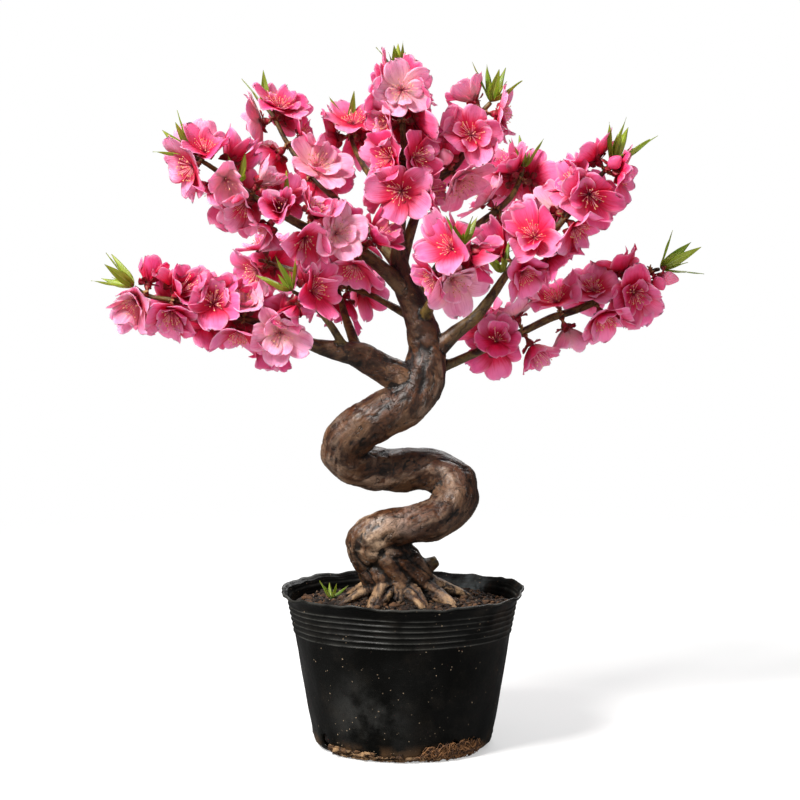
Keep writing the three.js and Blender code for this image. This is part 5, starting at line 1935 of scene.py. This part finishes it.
@dataclass
class Soil:
    """The crumbly soil, its clods, the crust at the pot's foot and the fine roots beside it."""

    finishes: Finishes
    level: float = 103 * MM
    rise: float = 5 * MM
    reach: float = 82 * MM
    clods: int = 2000
    sides: int = 132
    rings: int = 34
    crust_lumps: int = 360
    rootlets: int = 130
    root_turn: float = 304

    def build(self) -> None:
        """Builds the soil body with its clods, the crust on the pot's foot and the fine roots."""
        self._build_body()
        self._build_crust()
        self._build_rootlets()

    def _surface(self, x: float, y: float) -> float:
        """Finds the height of the soil at a place.

        Args:
            x: the place to the right of the pot's axis.
            y: the place behind it.

        Returns:
            The height.
        """
        share = min(1.0, math.hypot(x, y) / self.reach)
        swell = noise.fractal(Vector((x * 46, y * 46, 3.1)), 1.0, 2.0, 2) * 2.0
        crumb = noise.fractal(Vector((x * 190, y * 190, 0.7)), 1.0, 2.0, 3) * 1.9
        return self.level + self.rise * (1 - share * share) + (swell + crumb) * MM * (1 - 0.35 * share)

    def _build_body(self) -> None:
        """Spins the soil, roughens its surface and strews clods over it."""
        bm = new_shape()
        top = [(self.reach * (1 - i / self.rings), self.level) for i in range(self.rings + 1)]
        side = [(0, 1.5 * MM), (58 * MM, 1.5 * MM), (64.8 * MM, 9 * MM), (73 * MM, 55 * MM)]
        spin_profile(bm, side + top, self.sides)
        for vert in bm.verts:
            if vert.co.z > self.level - 1 * MM:
                vert.co.z = self._surface(vert.co.x, vert.co.y)
        bmesh.ops.recalc_face_normals(bm, faces=bm.faces)
        for i in range(self.clods):
            flat, far = draw(i * 3 + 1) * TURN, math.sqrt(draw(i * 3 + 2)) * 80 * MM
            x, y = math.cos(flat) * far, math.sin(flat) * far
            size = (0.5 + 2.4 * draw(i * 3 + 3) ** 3) * MM
            self._add_lump(bm, Vector((x, y, self._surface(x, y) + size * 0.25)), size, i)
        self._place(bm, "fine_soil", self.finishes.soil, "soil")

    @staticmethod
    def _place(bm: BMesh, name: str, finish: Material, node: str = "") -> None:
        """Places a body of soil.

        Args:
            bm: its shape.
            name: the piece's name.
            finish: its finish.
            node: the solid that it replaces, if any.
        """
        mesh = to_mesh(bm, name)
        mesh.shade_smooth()
        place_piece(mesh, name, [finish], node)

    @staticmethod
    def _add_lump(bm: BMesh, place: Vector, size: float, seed: int, flat: float = 0.75) -> None:
        """Adds one uneven lump of soil.

        Args:
            bm: the mesh that it goes into.
            place: its middle.
            size: its radius.
            seed: where its draws start.
            flat: its height as a share of its width.
        """
        tint_layer = bm.verts.layers.float_vector["tint"]
        turn = Matrix.Rotation(draw(seed + 0.3) * TURN, 4, "Z")
        form = Matrix.Diagonal((size * (1 + spread(seed + 0.5, 0.3)), size, size * flat, 1.0))
        for vert in add_ball(bm, Matrix.Translation(place) @ turn @ form):
            vert[tint_layer] = (draw(seed + 0.7), 0.0, 0.0)
            vert.co += (vert.co - place) * noise.noise(vert.co * 900) * 1.1
            vert.co.z = max(vert.co.z, 0)

    def _build_crust(self) -> None:
        """Builds the crust of dried soil low on the pot's front, most of it at the left."""
        bm = new_shape()
        for i in range(self.crust_lumps):
            seed = i * 5 + 900
            # Three in four lie at the left: where, in degrees, their heights in mm, and how they crowd low.
            middle, fan, low, high, bias = (244, 27, 0.8, 6.8, 1.5) if i % 4 else (282, 24, 0.6, 3.4, 1)
            turn = math.radians(middle + spread(seed, fan))
            height = (low + high * draw(seed + 1) ** bias) * MM
            radius = 61.6 * MM + min(4.4 * MM, height * 0.75)
            size = (0.8 + 2.9 * draw(seed + 2) ** 2) * MM
            place = Vector((math.cos(turn) * radius, math.sin(turn) * radius, max(height, size * 0.5)))
            self._add_lump(bm, place, size, i + 700, 0.45)
        self._place(bm, "dried_soil_crust", self.finishes.crust)

    def _build_rootlets(self) -> None:
        """Builds the mat of fine roots that has grown out low on the pot's front right."""
        bm = new_shape()
        middle, heel = math.radians(self.root_turn), 67.3 * MM
        for i in range(self.rootlets):
            seed = i * 11 + 40
            start, run = math.radians(self.root_turn + spread(seed, 17)), spread(seed + 1, 0.36)
            base = (1.6 + 11.0 * draw(seed + 2) * math.cos(2.6 * (start - middle))) * MM
            waves, phase = 2 + 4 * draw(seed + 3), draw(seed + 4) * TURN
            thick, proud = (0.25 + 0.5 * draw(seed + 5) ** 2) * MM, draw(seed + 6) * 2.2 * MM

            def lay(u: Array, v: Array) -> Array:
                """Lays a thin tube round the foot of the pot.

                Args:
                    u: shares round it, from -1 to 1.
                    v: shares along it, from 0 to 1.

                Returns:
                    The places, in metres.
                """
                turn = start + run * (v - 0.5)
                height = np.maximum(base + 2.6 * MM * np.sin(waves * v * 2.4 + phase), thick)
                foot = np.clip(6 * MM - height, 0, 6 * MM) * 0.7
                far = heel - foot + proud * np.sin(v * np.pi) + thick + thick * np.cos(u * math.pi)
                rise = height + thick * np.sin(u * math.pi)
                return np.stack([np.cos(turn) * far, np.sin(turn) * far, rise], axis=1)

            shaped_grid(bm, 4, 12, lay, (draw(seed + 8), 0, 0), closed=True)
        place_piece(to_mesh(bm, "foot_rootlets"), "foot_rootlets", [self.finishes.rootlet])


# ---- studio ----


@dataclass
class Studio:
    """A pale floor, soft lights and the camera where the photograph was taken from."""

    pixels: float = 800
    focal: float = 2047
    sensor: float = 36
    pitch: float = 4.39
    place: Triple = (-1.9 * MM, -1500 * MM, 370 * MM)
    target: Triple = (0, 0, 0.3)
    surround: float = 0.46
    mirrored: float = 0.05

    def build(self) -> None:
        """Sets the camera, the floor and the lights."""
        self._camera()
        self._sweep()
        self._lights()

    def _camera(self) -> None:
        """Puts the camera at the photograph's viewpoint."""
        data = bpy.data.cameras.new("studio_camera")
        data.sensor_width, data.lens = self.sensor, self.focal * self.sensor / self.pixels
        camera = link("studio_camera", data)
        camera.location = self.place
        camera.rotation_euler = (math.radians(90 - self.pitch), 0, 0)
        bpy.context.scene.camera = camera

    def _glow(self, nodes: Nodes) -> Socket:
        """Makes how bright the surroundings are: 1 to the camera, less as a light and least in a reflection.

        Args:
            nodes: the nodes of the floor or of the world.

        Returns:
            The strength.
        """
        path = nodes.add("ShaderNodeLightPath").outputs
        mirrored = nodes.span(path["Is Glossy Ray"], 0, 1, self.surround, self.mirrored)
        return nodes.span(path["Is Camera Ray"], 0, 1, mirrored, 1.0)

    def _sweep(self) -> None:
        """Lays a plain pale floor, which the shiny pot hardly mirrors."""
        bm = bmesh.new()
        bmesh.ops.create_circle(bm, cap_ends=True, segments=64, radius=30)
        material, nodes, surface = new_material("studio_floor")
        where = nodes.place()
        away = nodes.made("ShaderNodeVectorMath", {"operation": "LENGTH"}, i0=where)["Value"]
        far = nodes.span(away, 0.35, 1.3)
        near = nodes.mix(nodes.noise(where, 0.6, 2), (0.54, 0.54, 0.54, 1), (0.56, 0.56, 0.56, 1))
        glossy = nodes.add("ShaderNodeLightPath").outputs["Is Glossy Ray"]
        unlit = nodes.math("MAXIMUM", far, nodes.times(glossy, 0.8))
        nodes.feed(surface, base_color=nodes.mix(unlit, near, (0, 0, 0, 1)), roughness=0.9, specular_ior_level=0.0,
                   emission_color=nodes.mix(far, (0.42, 0.42, 0.42, 1), (1, 1, 1, 1)),
                   emission_strength=self._glow(nodes))
        floor = link("studio_floor", to_mesh(bm, "studio_floor"))
        floor.data.materials.append(material)

    def _lights(self) -> None:
        """Hangs the soft lights and lights the surroundings."""
        for name, place, size, power, colour in (
            ("key_light", (-1.2, -1.2, 1.9), 0.7, 98, (1.0, 0.98, 0.95)),
            ("fill_light", (1.9, -1.5, 1.0), 1.8, 5, (0.95, 0.97, 1.0)),
            ("back_light", (0.5, 1.9, 1.7), 1.4, 30, (1.0, 1.0, 1.0)),
        ):
            data = bpy.data.lights.new(name, "AREA")
            data.size, data.energy, data.color = size, power, colour
            light = link(name, data)
            light.location = place
            aim = Vector(self.target) - light.location
            light.rotation_euler = aim.to_track_quat("-Z", "Y").to_euler()
        world = bpy.data.worlds.new("studio_world")
        world.use_nodes = True
        nodes = Nodes(world.node_tree)
        nodes.feed(world.node_tree.nodes["Background"].inputs, color=(1, 1, 1, 1), strength=self._glow(nodes))
        scene = bpy.context.scene
        scene.world, scene.view_settings.view_transform = world, "Standard"


def main() -> None:
    """Builds the studio and every piece."""
    logging.basicConfig(level=logging.INFO, format="%(name)s: %(message)s")
    Studio().build()
    tree, finishes = Tree(), Finishes()
    for part in (Pot(finishes), Soil(finishes), Wood(tree, finishes), Leaves(tree, finishes),
                 Blossoms(tree, finishes)):
        part.build()
        LOG.info("%s built", type(part).__name__)
    bpy.context.view_layer.update()


if __name__ == "__main__":
    main()
